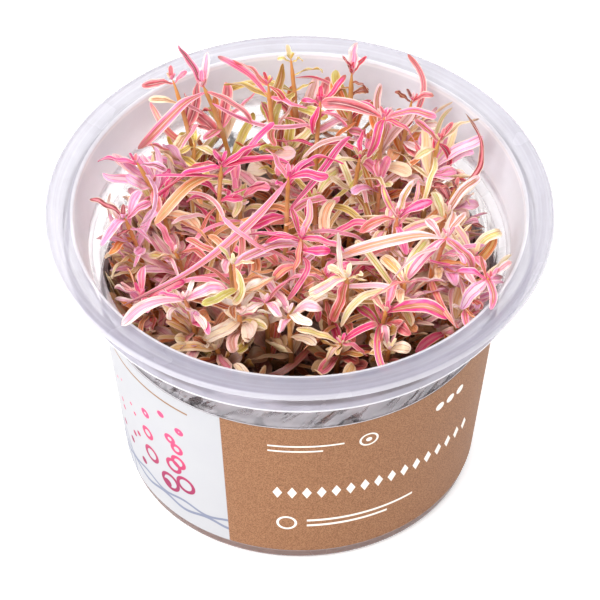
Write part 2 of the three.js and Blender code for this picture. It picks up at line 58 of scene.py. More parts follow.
SKIRT_RADIUS = 46.5 * MM
SKIRT_BOTTOM = 54.2 * MM
WALL = 0.9 * MM
SHOULDER_Z = 52 * MM
SHOULDER_WIDTH = 1.5 * MM
BODY_TOP_RADIUS = 40.2 * MM
BODY_BOTTOM_RADIUS = 34.1 * MM
BASE_ROUND = 1.6 * MM
FLOOR_ROUND = 1.2 * MM
RECESS = 0.5 * MM
RECESS_RADIUS = 26 * MM
LABEL_FROM = 3.2 * MM
CUP_STEPS = 144
CREASE = math.radians(35)
TAPER = (BODY_TOP_RADIUS - BODY_BOTTOM_RADIUS) / (SHOULDER_Z - BASE_ROUND)


def body_radius(z):
    """The cup's outside radius below the shoulder."""
    return BODY_BOTTOM_RADIUS + (z - BASE_ROUND) * TAPER


def inner_radius(z):
    """The room inside the cup at a height."""
    if z < SHOULDER_Z:
        return body_radius(z) - WALL
    low = BODY_TOP_RADIUS + SHOULDER_WIDTH - WALL
    rise = (z - SHOULDER_Z) / (CUP_HEIGHT - SHOULDER_Z)
    return min(FLANGE_INNER_RADIUS, low + rise * (FLANGE_INNER_RADIUS - low))


def arc(centre, radius, start, end, steps=5):
    """[radius, height] points on an arc, its angles in degrees from outward to up."""
    points = []
    for i in range(steps + 1):
        angle = math.radians(start + (end - start) * i / steps)
        points.append((centre[0] + radius * math.cos(angle), centre[1] + radius * math.sin(angle)))
    return points


def turned(outline, steps):
    """A bmesh of a [radius, height] outline spun round the cup's axis."""
    bm = bmesh.new()
    ring = [bm.verts.new((r, 0, z)) for r, z in outline]
    edges = [bm.edges.new(pair) for pair in zip(ring, ring[1:])]
    if outline[0][0] > 0:
        edges.append(bm.edges.new((ring[-1], ring[0])))
    bmesh.ops.spin(bm, geom=ring + edges, cent=(0, 0, 0), axis=(0, 0, 1), dvec=(0, 0, 0),
                   angle=math.tau, steps=steps, use_merge=True)
    bmesh.ops.remove_doubles(bm, verts=bm.verts, dist=1e-6)
    bmesh.ops.recalc_face_normals(bm, faces=bm.faces)
    return bm


def piece(name, bm, material):
    """The bmesh as a smooth-shaded object that keeps its sharper edges."""
    mesh = bpy.data.meshes.new(name)
    bm.to_mesh(mesh)
    bm.free()
    mesh.polygons.foreach_set("use_smooth", [True] * len(mesh.polygons))
    mesh.set_sharp_from_angle(angle=CREASE)
    mesh.materials.append(material)
    made = bpy.data.objects.new(name, mesh)
    bpy.context.scene.collection.objects.link(made)
    return made


def sign(operation, swapped=False):
    """A method that stands for one arithmetic sign, with its two sides swapped or not."""
    if swapped:
        return lambda self, other: self.maths(operation, other, self)
    return lambda self, *others: self.maths(operation, self, *others)


class Value:
    """A shader socket that ordinary arithmetic turns into Math nodes."""

    __add__, __radd__ = sign("ADD"), sign("ADD", True)
    __sub__, __rsub__ = sign("SUBTRACT"), sign("SUBTRACT", True)
    __mul__, __rmul__ = sign("MULTIPLY"), sign("MULTIPLY", True)
    __truediv__, __abs__, power = sign("DIVIDE"), sign("ABSOLUTE"), sign("POWER")
    at_least, at_most = sign("MAXIMUM"), sign("MINIMUM")
    sine, fraction, arctan2 = sign("SINE"), sign("FRACT"), sign("ARCTAN2")

    def __init__(self, finish, socket):
        self.finish = finish
        self.socket = socket

    def maths(self, operation, *numbers):
        return self.finish.node("Math", {"operation": operation}, dict(enumerate(numbers)))

    def ramp(self, start, end):
        """0 up to start and 1 from end on, with a smooth rise between; start may be the larger."""
        settings = {"interpolation_type": "SMOOTHSTEP"}
        return self.finish.node("MapRange", settings, {0: self, 1: start, 2: end})


class Finish:
    """A material whose nodes are made one method call at a time."""

    def __init__(self, name, constants):
        self.material = bpy.data.materials.new(name)
        self.material.use_nodes = True
        self.tree = self.material.node_tree
        self.shader = self.tree.nodes["Principled BSDF"]
        for label, value in constants.items():
            self.shader.inputs[label].default_value = value

    def node(self, kind, settings=None, inputs=None, output=0):
        made = self.tree.nodes.new("ShaderNode" + kind)
        for key, value in (settings or {}).items():
            setattr(made, key, value)
        for key, value in (inputs or {}).items():
            self.plug(made.inputs[key], value)
        return Value(self, made.outputs[output])

    def plug(self, socket, value):
        if isinstance(value, Value):
            self.tree.links.new(value.socket, socket)
        else:
            socket.default_value = value

    def drive(self, label, value):
        self.plug(self.shader.inputs[label], value)

    def split(self, vector):
        parts = self.tree.nodes.new("ShaderNodeSeparateXYZ")
        self.plug(parts.inputs[0], vector)
        return [Value(self, parts.outputs[i]) for i in range(3)]

    def place(self):
        return self.node("TexCoord", output="Object")

    def noise(self, scale, detail, where=None):
        where = where or self.place()
        return self.node("TexNoise", None, {"Vector": where, "Scale": scale, "Detail": detail})

    def vector(self, *parts):
        return self.node("CombineXYZ", None, dict(enumerate(parts)))

    def mix(self, share, low, high, blend="MIX"):
        settings = {"data_type": "RGBA", "blend_type": blend}
        return self.node("Mix", settings, {0: share, 6: low, 7: high}, output=2)

    def coats(self, colour, *coats):
        """The colour with each coat laid over it in turn, a coat being its share and its own colour."""
        for share, coat in coats:
            colour = self.mix(share, colour, coat)
        return colour

    def bump(self, height, distance, strength=1.0):
        inputs = {"Height": height, "Distance": distance, "Strength": strength}
        self.drive("Normal", self.node("Bump", None, inputs))


def tint(*screen):
    """A linear colour from the 0 to 255 numbers of a screen."""
    shares = [level / 255 for level in screen]
    linear = [share / 12.92 if share <= 0.04045 else ((share + 0.055) / 1.055) ** 2.4 for share in shares]
    return (*linear, 1.0)


skirt_foot = SKIRT_RADIUS - 0.3 * MM
shoulder = BODY_TOP_RADIUS + SHOULDER_WIDTH
outline = [(0, RECESS), (RECESS_RADIUS, RECESS), (RECESS_RADIUS + 0.6 * MM, 0)]
outline += arc((BODY_BOTTOM_RADIUS - BASE_ROUND, BASE_ROUND), BASE_ROUND, -90, 0, 8)
outline += [(body_radius(z * MM), z * MM) for z in (12, 24, 36, 48)]
outline += arc((BODY_TOP_RADIUS + 0.8 * MM, SHOULDER_Z - 0.6 * MM), 0.8 * MM, 180, 100, 4)
outline += arc((shoulder - 0.6 * MM, SHOULDER_Z + 0.8 * MM), 0.6 * MM, -80, 0, 4)
outline += [(43.9 * MM, 58.5 * MM), (45.0 * MM, FLANGE_UNDERSIDE - 0.4 * MM), (45.3 * MM, FLANGE_UNDERSIDE)]
outline += [(SKIRT_RADIUS - WALL, FLANGE_UNDERSIDE), (skirt_foot - WALL, SKIRT_BOTTOM + 0.4 * MM)]
outline += arc((skirt_foot - 0.5 * WALL, SKIRT_BOTTOM + 0.45 * MM), 0.45 * MM, -180, 0, 8)
outline += [(SKIRT_RADIUS - 0.05 * MM, 58.8 * MM), (SKIRT_RADIUS, FLANGE_UNDERSIDE - 0.7 * MM)]
outline += arc((SKIRT_RADIUS + 0.7 * MM, FLANGE_UNDERSIDE - 0.7 * MM), 0.7 * MM, 180, 90, 4)
outline += [(48.9 * MM, FLANGE_UNDERSIDE)]
outline += arc((RIM_RADIUS - 0.5 * MM, FLANGE_UNDERSIDE + 0.3 * MM), 0.5 * MM, -120, 0, 5)
outline += arc((RIM_RADIUS - 0.7 * MM, CUP_HEIGHT - 0.7 * MM), 0.7 * MM, 0, 90, 7)
outline += [(48.2 * MM, CUP_HEIGHT - 0.05 * MM), (47.9 * MM, CUP_HEIGHT - 0.22 * MM)]
outline += [(45.6 * MM, CUP_HEIGHT - 0.22 * MM), (45.35 * MM, CUP_HEIGHT - 0.05 * MM)]
outline += arc((FLANGE_INNER_RADIUS + 0.5 * MM, CUP_HEIGHT - 0.5 * MM), 0.5 * MM, 90, 180, 6)
outline += [(43.4 * MM, 60 * MM), (42.0 * MM, 55.5 * MM)]
outline += arc((shoulder - WALL + 0.5 * MM, SHOULDER_Z + 1.3 * MM), 0.7 * MM, 170, 240, 4)
outline += arc((body_radius(SHOULDER_Z) - WALL - 0.5 * MM, SHOULDER_Z - 0.3 * MM), 0.5 * MM, 70, 0, 4)
outline += [(body_radius(z * MM) - WALL, z * MM) for z in (48, 36, 24, 12)]
floor_centre = (body_radius(WALL + FLOOR_ROUND) - WALL - FLOOR_ROUND, WALL + FLOOR_ROUND)
outline += arc(floor_centre, FLOOR_ROUND, 0, -90, 5)
outline += [(0, WALL)]

plastic = Finish("milky_polypropylene", {"IOR": 1.49, "Specular IOR Level": 0.6, "Coat Weight": 0.25,
                                         "Coat Roughness": 0.12, "Subsurface Weight": 0.5,
                                         "Subsurface Scale": 0.003, "Subsurface Radius": (1.0, 1.0, 1.0)})
x, y, z = plastic.split(plastic.place())
radius = (x * x + y * y).power(0.5)
lean = radius - TAPER * z
wall_face = BODY_BOTTOM_RADIUS - BASE_ROUND * TAPER
haze = plastic.noise(55, 3)
patches = plastic.noise(24, 2)
mottle = plastic.noise(260, 3)
beads = plastic.node("TexVoronoi", {"feature": "SMOOTH_F1"}, {"Vector": plastic.place(), "Scale": 1100})
thick = radius.ramp(44.1 * MM, 44.6 * MM)
# Painted light: the inner cone above the shoulder is whitened and made more opaque, standing in for light
# scattered through the plastic, so that the shaded gap behind it does not show.
cone = radius.ramp(41.2 * MM, 41.7 * MM) * (1 - thick) * z.ramp(SHOULDER_Z, SHOULDER_Z + 1 * MM)
fogged = lean.ramp(wall_face - 0.3 * MM, wall_face - 0.7 * MM)
fogged = fogged * z.ramp(SHOULDER_Z - 1 * MM, SHOULDER_Z - 4 * MM) * z.ramp(30 * MM, 36 * MM)
turned_by = x.arctan2(-1 * y) * (BODY_TOP_RADIUS / MM)
slant = plastic.vector(0.32 * (turned_by - z / MM), 0.07 * (turned_by + z / MM))
wet = plastic.noise(1.0, 3, slant).ramp(0.5, 0.58) * z.ramp(SHOULDER_Z + 1 * MM, SHOULDER_Z - 1 * MM)
wet = wet * z.ramp(30 * MM, 36 * MM) * plastic.noise(75, 1).ramp(0.36, 0.5)
scraps = plastic.noise(420, 3).ramp(0.52, 0.58) * plastic.noise(110, 1).ramp(0.42, 0.54) * fogged
# Painted light: where the misted wall lies behind the label it is whitened and made more opaque, standing in
# for light that comes in through the label, so the shade there does not show.
mist_and_painted_light = fogged * z.ramp(43.4 * MM, 42.2 * MM)
rings = plastic.noise(1.1, 3, plastic.vector(radius / MM, 2 * patches))
# Partly painted shade: the foot below the label is painted dark brown and made nearly opaque, standing in for
# the shaded floor under the cup and for the brown gel behind it.
foot = z.ramp(LABEL_FROM, LABEL_FROM - 0.8 * MM)
# Painted highlights: the flange's inner and outer lips and the foot of the skirt are coloured near white and
# made more opaque, standing in for the light caught along the moulding's edges.
inner_lip = radius.ramp(45.2 * MM, 44.9 * MM) * z.ramp(CUP_HEIGHT - 1.2 * MM, CUP_HEIGHT - 0.7 * MM)
outer_lip = radius.ramp(RIM_RADIUS - 0.5 * MM, RIM_RADIUS - 0.1 * MM)
skirt_lip = z.ramp(SKIRT_BOTTOM + 0.9 * MM, SKIRT_BOTTOM + 0.5 * MM) * radius.ramp(44 * MM, 44.8 * MM)
lit_edge = (inner_lip * 0.55).at_least(outer_lip * 0.4).at_least(skirt_lip * 0.8)
# Painted shadow: a dark, broken line on the skirt just under the flange's lip, standing in for the shade
# under the lip, and more opaque there.
lip_shadow_line = z.ramp(56.2 * MM, 56.7 * MM) * z.ramp(60.9 * MM, 60.4 * MM) * patches.ramp(0.42, 0.54)
lip_shadow_line = lip_shadow_line.at_least(z.ramp(57.6 * MM, 58 * MM) * z.ramp(60.9 * MM, 60.4 * MM) * 0.65)
lip_shadow_line = lip_shadow_line * radius.ramp(46.2 * MM, 46.35 * MM) * radius.ramp(47.8 * MM, 47.2 * MM)
milk = plastic.coats(tint(156, 151, 166), (haze, tint(170, 166, 181)),
                     (mottle.ramp(0.5, 0.7) * 0.3, tint(146, 138, 148)),
                     (rings.ramp(0.42, 0.62) * 0.5, tint(184, 181, 195)))
milk = plastic.mix(thick, tint(212, 208, 216), milk)
milk = plastic.coats(milk, (fogged * (0.3 + 0.6 * haze), tint(158, 140, 142)),
                     (mist_and_painted_light * 0.9, tint(244, 240, 242)), (cone, tint(240, 242, 254)),
                     (lip_shadow_line, tint(84, 70, 78)), (scraps * 0.9, tint(58, 48, 50)),
                     (foot * 0.95, tint(100, 62, 46)), (lit_edge, tint(250, 248, 252)))
plastic.drive("Base Color", milk)
alpha = 0.3 + 0.16 * thick + 0.5 * cone + 0.12 * (mottle - 0.5) + 0.05 * haze + 0.1 * fogged - 0.3 * wet
alpha = alpha + 0.6 * foot + 0.5 * mist_and_painted_light
plastic.drive("Alpha", (alpha + 0.3 * lit_edge + 0.4 * lip_shadow_line + 0.4 * scraps).at_least(0.05).at_most(1))
plastic.drive("Roughness", 0.2 + 0.12 * haze + 0.2 * fogged)
plastic.bump(fogged * beads + 0.04 * haze, 0.3 * MM, 0.7)

cup = piece("cup_shell", turned(outline, CUP_STEPS), plastic.material)
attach(cup, "root")
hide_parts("cup")


# Label
# A printed film band stuck round the tapered body, brown all round but for one white panel at the
# front left. Its ends overlap at the back. The print is plain rules, dots, lozenges, rings and ripples, and
# the film's own white shows on its inner face.
LABEL_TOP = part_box("label")[1].z
LABEL_STEPS = 160
LABEL_RADIUS = body_radius((LABEL_FROM + LABEL_TOP) / 2)
FILM_GAP = 0.05 * MM
FILM = 0.3 * MM
LAP = (84, 96)
LAP_LIFT = 0.22 * MM
PANEL = (-61, -15)
PRINT_STEP = 2.9

levels = [LABEL_FROM + (LABEL_TOP - LABEL_FROM) * i / 6 for i in range(7)]
outline = [(body_radius(z) + FILM_GAP + FILM, z) for z in levels]
outline += [(body_radius(z) + FILM_GAP, z) for z in reversed(levels)]
film = turned(outline, LABEL_STEPS)
for vert in film.verts:
    turn = math.degrees(math.atan2(vert.co.y, vert.co.x))
    lift = LAP_LIFT if LAP[0] < turn < LAP[1] else 0
    out = Vector((vert.co.x, vert.co.y, 0)).normalized()
    if vert.co.xy.length > body_radius(vert.co.z) + FILM_GAP + 0.5 * FILM:
        vert.co += out * lift

print_film = Finish("printed_film", {"Specular IOR Level": 0.22})
x, y, z = print_film.split(print_film.place())
across = x.arctan2(-1 * y) * (LABEL_RADIUS / MM)
height = z / MM
grain = print_film.noise(3800, 2)
blotch = print_film.noise(140, 3)


def bar(u, v, half_length, half_height):
    """1 inside a straight bar of the print, in millimetres on the label."""
    side = abs(across - u).ramp(half_length + 0.07, half_length - 0.07)
    return side * abs(height - v).ramp(half_height + 0.07, half_height - 0.07)


def dot(u, v, size, hollow=0.0):
    """1 inside a round dot, or on a ring where hollow is its inside radius."""
    away = ((across - u).power(2) + (height - v).power(2)).power(0.5)
    full = away.ramp(size + 0.08, size - 0.08)
    return full * away.ramp(hollow - 0.08, hollow + 0.08) if hollow else full


def together(first, *others):
    """1 inside any of several printed shapes."""
    for other in others:
        first = first.at_least(other)
    return first


panel = across.ramp(PANEL[0] - 0.1, PANEL[0] + 0.1) * across.ramp(PANEL[1] + 0.1, PANEL[1] - 0.1)
brown = print_film.coats(tint(127, 84, 54), (grain.ramp(0.38, 0.62), tint(163, 117, 83)),
                         (blotch * 0.3, tint(130, 88, 54)))
beat = abs((across / PRINT_STEP).fraction() - 0.5)
lozenges = (beat * 1.5 + abs(height - 22) / 3.6).ramp(0.52, 0.46) * bar(17.4, 22, 23.2, 2.4)
dots = [dot(29.1 + PRINT_STEP * step, 36.4, 1.05) for step in range(3)]
rules = [bar(1.2, 37, 7.2, 0.22), bar(-0.8, 35.4, 5.2, 0.22), bar(13, 13, 11.5, 0.3), bar(10, 11.4, 8.5, 0.3)]
marks = together(*rules, *dots, lozenges, dot(13.2, 36.6, 1.9, 1.5), dot(13.2, 36.6, 0.6),
                 dot(-2.6, 12.2, 2.1, 1.6))
brown = print_film.mix(marks, brown, tint(246, 238, 228))
bubbles = dot(-30, 12, 1.2)
for step in range(11):
    size = 2.6 - 0.17 * step
    bubbles = together(bubbles, dot(-29 + 5.4 * math.sin(2.2 * step), 13 + 2.1 * step, size, size - 0.9),
                       dot(-42 + 4.2 * math.cos(1.7 * step), 12 + 1.9 * step, 0.35 * size))
ripple = (across * 0.55).sine() * 0.55
waves = together(abs(height - 7.4 - ripple).ramp(0.5, 0.3), abs(height - 9.0 + ripple).ramp(0.44, 0.26),
                 *[dot(-56, 4, size, size - 0.55) for size in (5, 7.6, 10.2, 12.8)])
pinks = print_film.mix(height.ramp(12, 32), tint(150, 40, 84), tint(232, 74, 120))
paper = print_film.coats(tint(187, 187, 189), (blotch * 0.5, tint(176, 176, 183)),
                         (waves * 0.8, tint(104, 112, 140)), (bubbles, pinks),
                         (bar(-37, 39.2, 15, 0.26), tint(150, 112, 78)))
printed = print_film.mix(panel, brown, paper)
inward = (x * x + y * y).power(0.5) - TAPER * z
bare_back = inward.ramp(wall_face + 0.28 * MM, wall_face + 0.18 * MM)
print_film.drive("Base Color", print_film.mix(bare_back, printed, tint(238, 235, 238)))
print_film.drive("Roughness", 0.5 + 0.16 * grain)
print_film.bump(grain, 0.03 * MM, 0.4)

label = piece("label_film", film, print_film.material)
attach(label, "root")
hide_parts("label")


# Gel
# The nutrient jelly poured into the cup before planting: a firm clear disc stained brown by the roots,
# with a small meniscus up the wall. It shows only through the clear base.
GEL_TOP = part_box("gel")[1].z
GEL_GAP = 0.35 * MM
INNER_STEPS = 96
low = WALL + 0.3 * MM
side_radius = body_radius(low + FLOOR_ROUND) - WALL - GEL_GAP
outline = [(0, low), (side_radius - FLOOR_ROUND, low)]
outline += arc((side_radius - FLOOR_ROUND, low + FLOOR_ROUND), FLOOR_ROUND, -75, 0, 4)
outline += [(body_radius(8 * MM) - WALL - GEL_GAP, 8 * MM), (body_radius(GEL_TOP) - WALL - GEL_GAP, GEL_TOP)]
outline += [(body_radius(GEL_TOP) - WALL - 1.6 * MM, GEL_TOP - 0.7 * MM), (0, GEL_TOP - 0.9 * MM)]

jelly = Finish("stained_gel", {"Roughness": 0.12, "IOR": 1.34, "Subsurface Weight": 0.4,
                               "Subsurface Scale": 0.003})
jelly.drive("Base Color", jelly.mix(jelly.noise(120, 4), tint(84, 56, 44), tint(134, 96, 76)))
jelly.bump(jelly.noise(900, 3), 0.1 * MM, 0.3)

gel = piece("gel_disc", turned(outline, INNER_STEPS), jelly.material)
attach(gel, "root")
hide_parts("gel")


# Root mat
# Tangled roots, dead leaves and short growth that have closed over the gel: a dark uneven bed with pale
# root threads lying on it and old leaves, cream, dusty pink and rust, standing out of it.
MAT_RADIUS = 35.9 * MM
MAT_TOP = 34 * MM
MAT_FALL = 4 * MM
MAT_BUMP = 0.8 * MM
MAT_GAP = 0.6 * MM
ROOT_THREADS = 700
OLD_LEAVES = 420
EDGE_LEAVES = 150
STANDING_LEAVES = 190
LEFT_LEAVES = 60
LEFT_SIDE = (2.5, 3.7)
LUMP_SEED = 11
MAT_SEED = 5
KNOT = 0.3
KNOT_LENGTH = 0.7 * MM
HALF_THICKNESS = 0.12 * MM
LEAF_CREASE = math.radians(70)
PLAIN = 0.6


def mat_height(x, y):
    """The bed's height under a point."""
    fall = (x * x + y * y) / (MAT_RADIUS * MAT_RADIUS)
    return MAT_TOP - MAT_FALL * fall + MAT_BUMP * math.sin(0.24 * x / MM + 1) * math.cos(0.22 * y / MM)


def on_mat(way, far, sunk):
    """A point a little below the bed's top."""
    foot = Vector((far * math.cos(way), far * math.sin(way), 0))
    foot.z = mat_height(foot.x, foot.y) - sunk
    return foot


def ball(sides, rings):
    """A unit ball that leaves and stems are drawn out from: its mesh, and how far along and around it
    each point lies, the rings closer together towards the tip."""
    bm = bmesh.new()
    bmesh.ops.create_uvsphere(bm, u_segments=sides, v_segments=rings, radius=1)
    mesh = bpy.data.meshes.new(f"ball_{sides}_{rings}")
    bm.to_mesh(mesh)
    bm.free()
    points = np.array([vert.co for vert in mesh.vertices])
    along = np.arccos(np.clip(-points[:, 2], -1, 1)) / math.pi
    return mesh, 1 - (1 - along) ** 1.25, np.arctan2(points[:, 1], points[:, 0])


LONG_BLADE = ball(8, 16)
SHORT_BLADE = ball(8, 11)
OLD_BLADE = ball(8, 8)
STEM = ball(8, 36)
THREAD = ball(4, 7)


def bent(foot, reach, arch, sway):
    """Foot, bend and tip of a leaf's middle line, arched up and swayed to its left."""
    flat = math.hypot(reach[0], reach[1]) or 1
    lean = 2 * sway / flat
    bend = foot + reach / 2 + Vector((-lean * reach[1], lean * reach[0], 2 * arch))
    return foot, bend, foot + reach


def at(curve, t):
    """A point on a curve of three points."""
    foot, bend, tip = curve
    return foot * ((1 - t) * (1 - t)) + bend * (2 * t * (1 - t)) + tip * (t * t)


def unit(rows):
    """Each row of an array as a vector of length one."""
    return rows / np.linalg.norm(rows, axis=1)[:, None]


def run(curve, t):
    """Points and directions of a curve at many places."""
    foot, bend, tip = (np.array(point) for point in curve)
    t = t[:, None]
    points = foot * (1 - t) ** 2 + bend * (2 * t * (1 - t)) + tip * t ** 2
    return points, unit((bend - foot) * (1 - t) + (tip - bend) * t)


def blade(body, curve, width, look, rng, stalk=0.3, widest=0.45, blunt=0.8, fold=0.3, twist=0.0,
          wave=0.0, snake=0.0):
    """A leaf: a ball drawn out along its middle line, flattened, folded along the midrib and twisted.
    Stalk is its share of the width at the foot, and blunt where its round tip starts."""
    mesh, t, around = body
    points, along = run(curve, t)
    flat = curve[2].xy - curve[0].xy
    flat = flat.normalized() if flat.length > 1e-6 else Vector((1, 0))
    level = unit(np.cross(along, np.cross((flat.y, -flat.x, 0.0), along)))
    normal = np.cross(level, along)
    seed = rng.random()
    turn = (twist * (t - 0.15))[:, None]
    side = level * np.cos(turn) + normal * np.sin(turn)
    up = normal * np.cos(turn) - level * np.sin(turn)
    rise = np.clip(t / widest, 0, 1)
    spread = stalk + (1 - stalk) * rise * rise * (3 - 2 * rise)
    closing = np.sqrt(1 - np.clip((t - blunt) / (1 - blunt), 0, 1) ** 2)
    half = 0.5 * width * spread * closing * np.minimum(1, 14 * t)
    off = -np.cos(around)
    depth = HALF_THICKNESS * np.minimum(1, 10 * t) * np.minimum(1, 8 * (1 - t) + 0.1)
    lift = depth * np.sin(around) + fold * half * np.abs(off)
    ripple = wave * (np.sin(8 * t + 6 * seed) * t + 0.5 * np.sin(17 * t + 9 * seed) * np.abs(off))
    weave = snake * t * np.sin(5.5 * t + 6 * seed)
    placed = points + side * (off * half + weave)[:, None] + up * (lift + ripple)[:, None]
    marks = np.column_stack([t, off, np.full(len(t), seed)])
    return mesh, placed, marks, np.tile(look[0], (len(t), 1)), np.tile(look[1], (len(t), 1))


def rod(body, curve, radius, low_tone, high_tone, square=0.0, knots=()):
    """A stem or a root thread: a ball drawn out along a curve, round or with four soft corners, and thicker
    at its knots, where leaves grow."""
    mesh, t, around = body
    points, along = run(curve, t)
    side = unit(np.cross((0.0, 1.0, 0.0), along))
    front = np.cross(along, side)
    length = (curve[1] - curve[0]).length + (curve[2] - curve[1]).length
    size = radius * (1 + 0.5 * square * (1 - np.cos(4 * around)))
    size = size * np.minimum(1, 20 * t) * np.minimum(1, 9 * (1 - t)) * (1.1 - 0.35 * t)
    for knot in knots:
        size = size * (1 + KNOT * np.exp(-((t - knot) * length / KNOT_LENGTH) ** 2))
    placed = points + side * (size * np.cos(around))[:, None] + front * (size * np.sin(around))[:, None]
    marks = np.column_stack([t, np.full(len(t), PLAIN), np.full(len(t), 0.5)])
    share = np.clip(1.8 * t - 0.6, 0, 1)[:, None]
    tones = np.array(low_tone) * (1 - share) + np.array(high_tone) * share
    return mesh, placed, marks, tones, np.zeros((len(t), 4))


def grown_piece(name, parts, material):
    """Leaves, stems and threads joined in one mesh that carries the marks its finish reads."""
    bm = bmesh.new()
    for mesh, *_ in parts:
        bm.from_mesh(mesh)
    made = piece(name, bm, material)
    mesh = made.data
    places, marks, tones, stripes = (np.concatenate(rows) for rows in list(zip(*parts))[1:])
    mesh.vertices.foreach_set("co", places.ravel())
    mesh.attributes.new("blade", "FLOAT_VECTOR", "POINT").data.foreach_set("vector", marks.ravel())
    mesh.attributes.new("tone", "FLOAT_COLOR", "POINT").data.foreach_set("color", tones.ravel())
    mesh.attributes.new("stripe", "FLOAT_COLOR", "POINT").data.foreach_set("color", stripes.ravel())
    mesh.update()
    mesh.set_sharp_from_angle(angle=LEAF_CREASE)
    return made


TONES = {
    "hot": tint(242, 66, 156),
    "crimson": tint(222, 48, 94),
    "pink": tint(250, 138, 188),
    "rose": tint(246, 130, 146),
    "pale": tint(255, 218, 228),
    "cream": tint(255, 236, 198),
    "white": tint(255, 247, 232),
    "salmon": tint(255, 176, 128),
    "lilac": tint(244, 184, 230),
    "yellow": tint(240, 224, 118),
    "green": tint(210, 206, 100),
    "olive": tint(186, 150, 60),
    "rust": tint(236, 138, 62),
    "gold": tint(238, 184, 90),
    "brown": tint(184, 108, 52),
    "maroon": tint(146, 50, 60),
    "dark": tint(84, 50, 34),
}


def look_of(words, strength, tip, rng):
    """Tone and stripe of a leaf from its two colour words, each a little off its neighbours'."""
    body, middle = words.split()
    drift = 1 + 0.26 * (rng.random() - 0.5)
    own = [min(1.0, channel * drift) for channel in TONES[body][:3]]
    return (*own, strength), (*TONES[middle][:3], tip)


leaf_finish = Finish("living_leaf", {"Specular IOR Level": 0.45, "Coat Weight": 0.2, "Coat Roughness": 0.2})


def mark(name, output):
    """One of the marks that each point of a leaf or stem carries."""
    return leaf_finish.node("Attribute", {"attribute_name": name}, output=output)


t, off, seed = leaf_finish.split(mark("blade", "Vector"))
tone = mark("tone", "Color")
tone_strength = mark("tone", "Alpha")
stripe = mark("stripe", "Color")
tip_strength = mark("stripe", "Alpha")
edge = abs(off)
streaks = leaf_finish.noise(2.4, 3, leaf_finish.vector(1.6 * t, 3.6 * off, 40 * seed))
patches = leaf_finish.noise(1.6, 2, leaf_finish.vector(5 * t, 2 * off, 23 * seed))
mottle = leaf_finish.noise(900, 3)
band_half = 0.34 + 0.5 * (streaks - 0.5) + 0.3 * (patches - 0.5)
band = edge.ramp(band_half + 0.14, band_half) * t.ramp(0.04, 0.16) * t.ramp(0.98, 0.84)
band = band * tone_strength * (0.55 + mottle).at_most(0.95)
side_line = abs(edge - 0.42 - 0.16 * (patches - 0.5)).ramp(0.13, 0.05) * tone_strength
side_line = side_line * streaks.ramp(0.34, 0.5)
lines = streaks.ramp(0.5, 0.57) * tone_strength * 0.85
rib = edge.ramp(0.09, 0.02) * t.ramp(0.02, 0.1) * t.ramp(0.96, 0.7) * 0.7
margin = edge.ramp(0.8, 0.88) * t.ramp(0.02, 0.12) * 0.75
warm = leaf_finish.mix(1.0, tone, (0.92, 0.54, 0.42, 1.0), "MULTIPLY")
shade = leaf_finish.mix(1.0, tone, (0.62, 0.32, 0.26, 1.0), "MULTIPLY")
light = leaf_finish.mix(0.7, tone, tint(255, 236, 222))
colour = leaf_finish.coats(tone, (patches.ramp(0.4, 0.7) * 0.3, light), (lines, warm), (band, stripe),
                           (side_line * 0.85, shade), (rib, light), (margin, tint(255, 232, 210)),
                           (t.ramp(0.78, 0.98) * tip_strength, tint(150, 96, 60)))
_, depth_back, level = leaf_finish.split(leaf_finish.place())
in_front = depth_back.ramp(-6 * MM, -18 * MM)
# Lower leaves are older and yellower; this warm darkening, stronger low down and towards the front, is also
# painted shade for the warm shade deep in the stand.
aged_and_shaded = leaf_finish.mix(1.0, colour, (1.0, 0.75, 0.45, 1.0), "MULTIPLY")
age_and_shade = 0.36 + 0.18 * depth_back.ramp(22 * MM, 8 * MM) + 0.24 * in_front
colour = leaf_finish.mix(level.ramp(58 * MM, 39 * MM) * age_and_shade, colour, aged_and_shaded)
# Painted shade: leaves low down at the front of the stand are darkened almost to black-brown.
painted_low_front_shade = leaf_finish.mix(1.0, colour, (0.2, 0.11, 0.08, 1.0), "MULTIPLY")
low_down = level.ramp(53 * MM, 39 * MM)
leaf_finish.drive("Base Color", leaf_finish.mix(low_down * in_front * 0.96, colour, painted_low_front_shade))
leaf_finish.drive("Roughness", 0.3 + 0.24 * mottle)
leaf_finish.bump(edge.ramp(0.16, 0.0) * 0.6 + 0.5 * streaks + 0.15 * mottle, 0.14 * MM, 0.6)

low = GEL_TOP + 0.3 * MM
outline = [(0, low), (body_radius(low) - WALL - 0.5 * MM, low), (MAT_RADIUS, MAT_TOP - 6 * MM)]
outline += [(MAT_RADIUS * (1 - i / 22), MAT_TOP) for i in range(23)]
bed = turned(outline, INNER_STEPS)
lumps = random.Random(LUMP_SEED)
for vert in bed.verts:
    if vert.co.z > MAT_TOP - 1 * MM:
        lump = 0.7 * MM * math.sin(900 * vert.co.x + 2) * math.sin(1100 * vert.co.y)
        vert.co.z = mat_height(vert.co.x, vert.co.y) - MAT_GAP + lump - 0.9 * MM * lumps.random()
bed_mesh = bpy.data.meshes.new("bed")
bed.to_mesh(bed_mesh)
bed.free()
places = np.array([vert.co for vert in bed_mesh.vertices])
count = len(places)
leftward = np.clip(-places[:, :1] / (12 * MM) - 1, 0, 1)
bed_tones = np.array(TONES["dark"][:3]) * (1 - leftward) + np.array(TONES["brown"][:3]) * leftward
growth = [(bed_mesh, places, np.tile((0.5, PLAIN, 0.5), (count, 1)),
           np.column_stack([bed_tones, np.zeros(count)]), np.zeros((count, 4)))]
rng = random.Random(MAT_SEED)
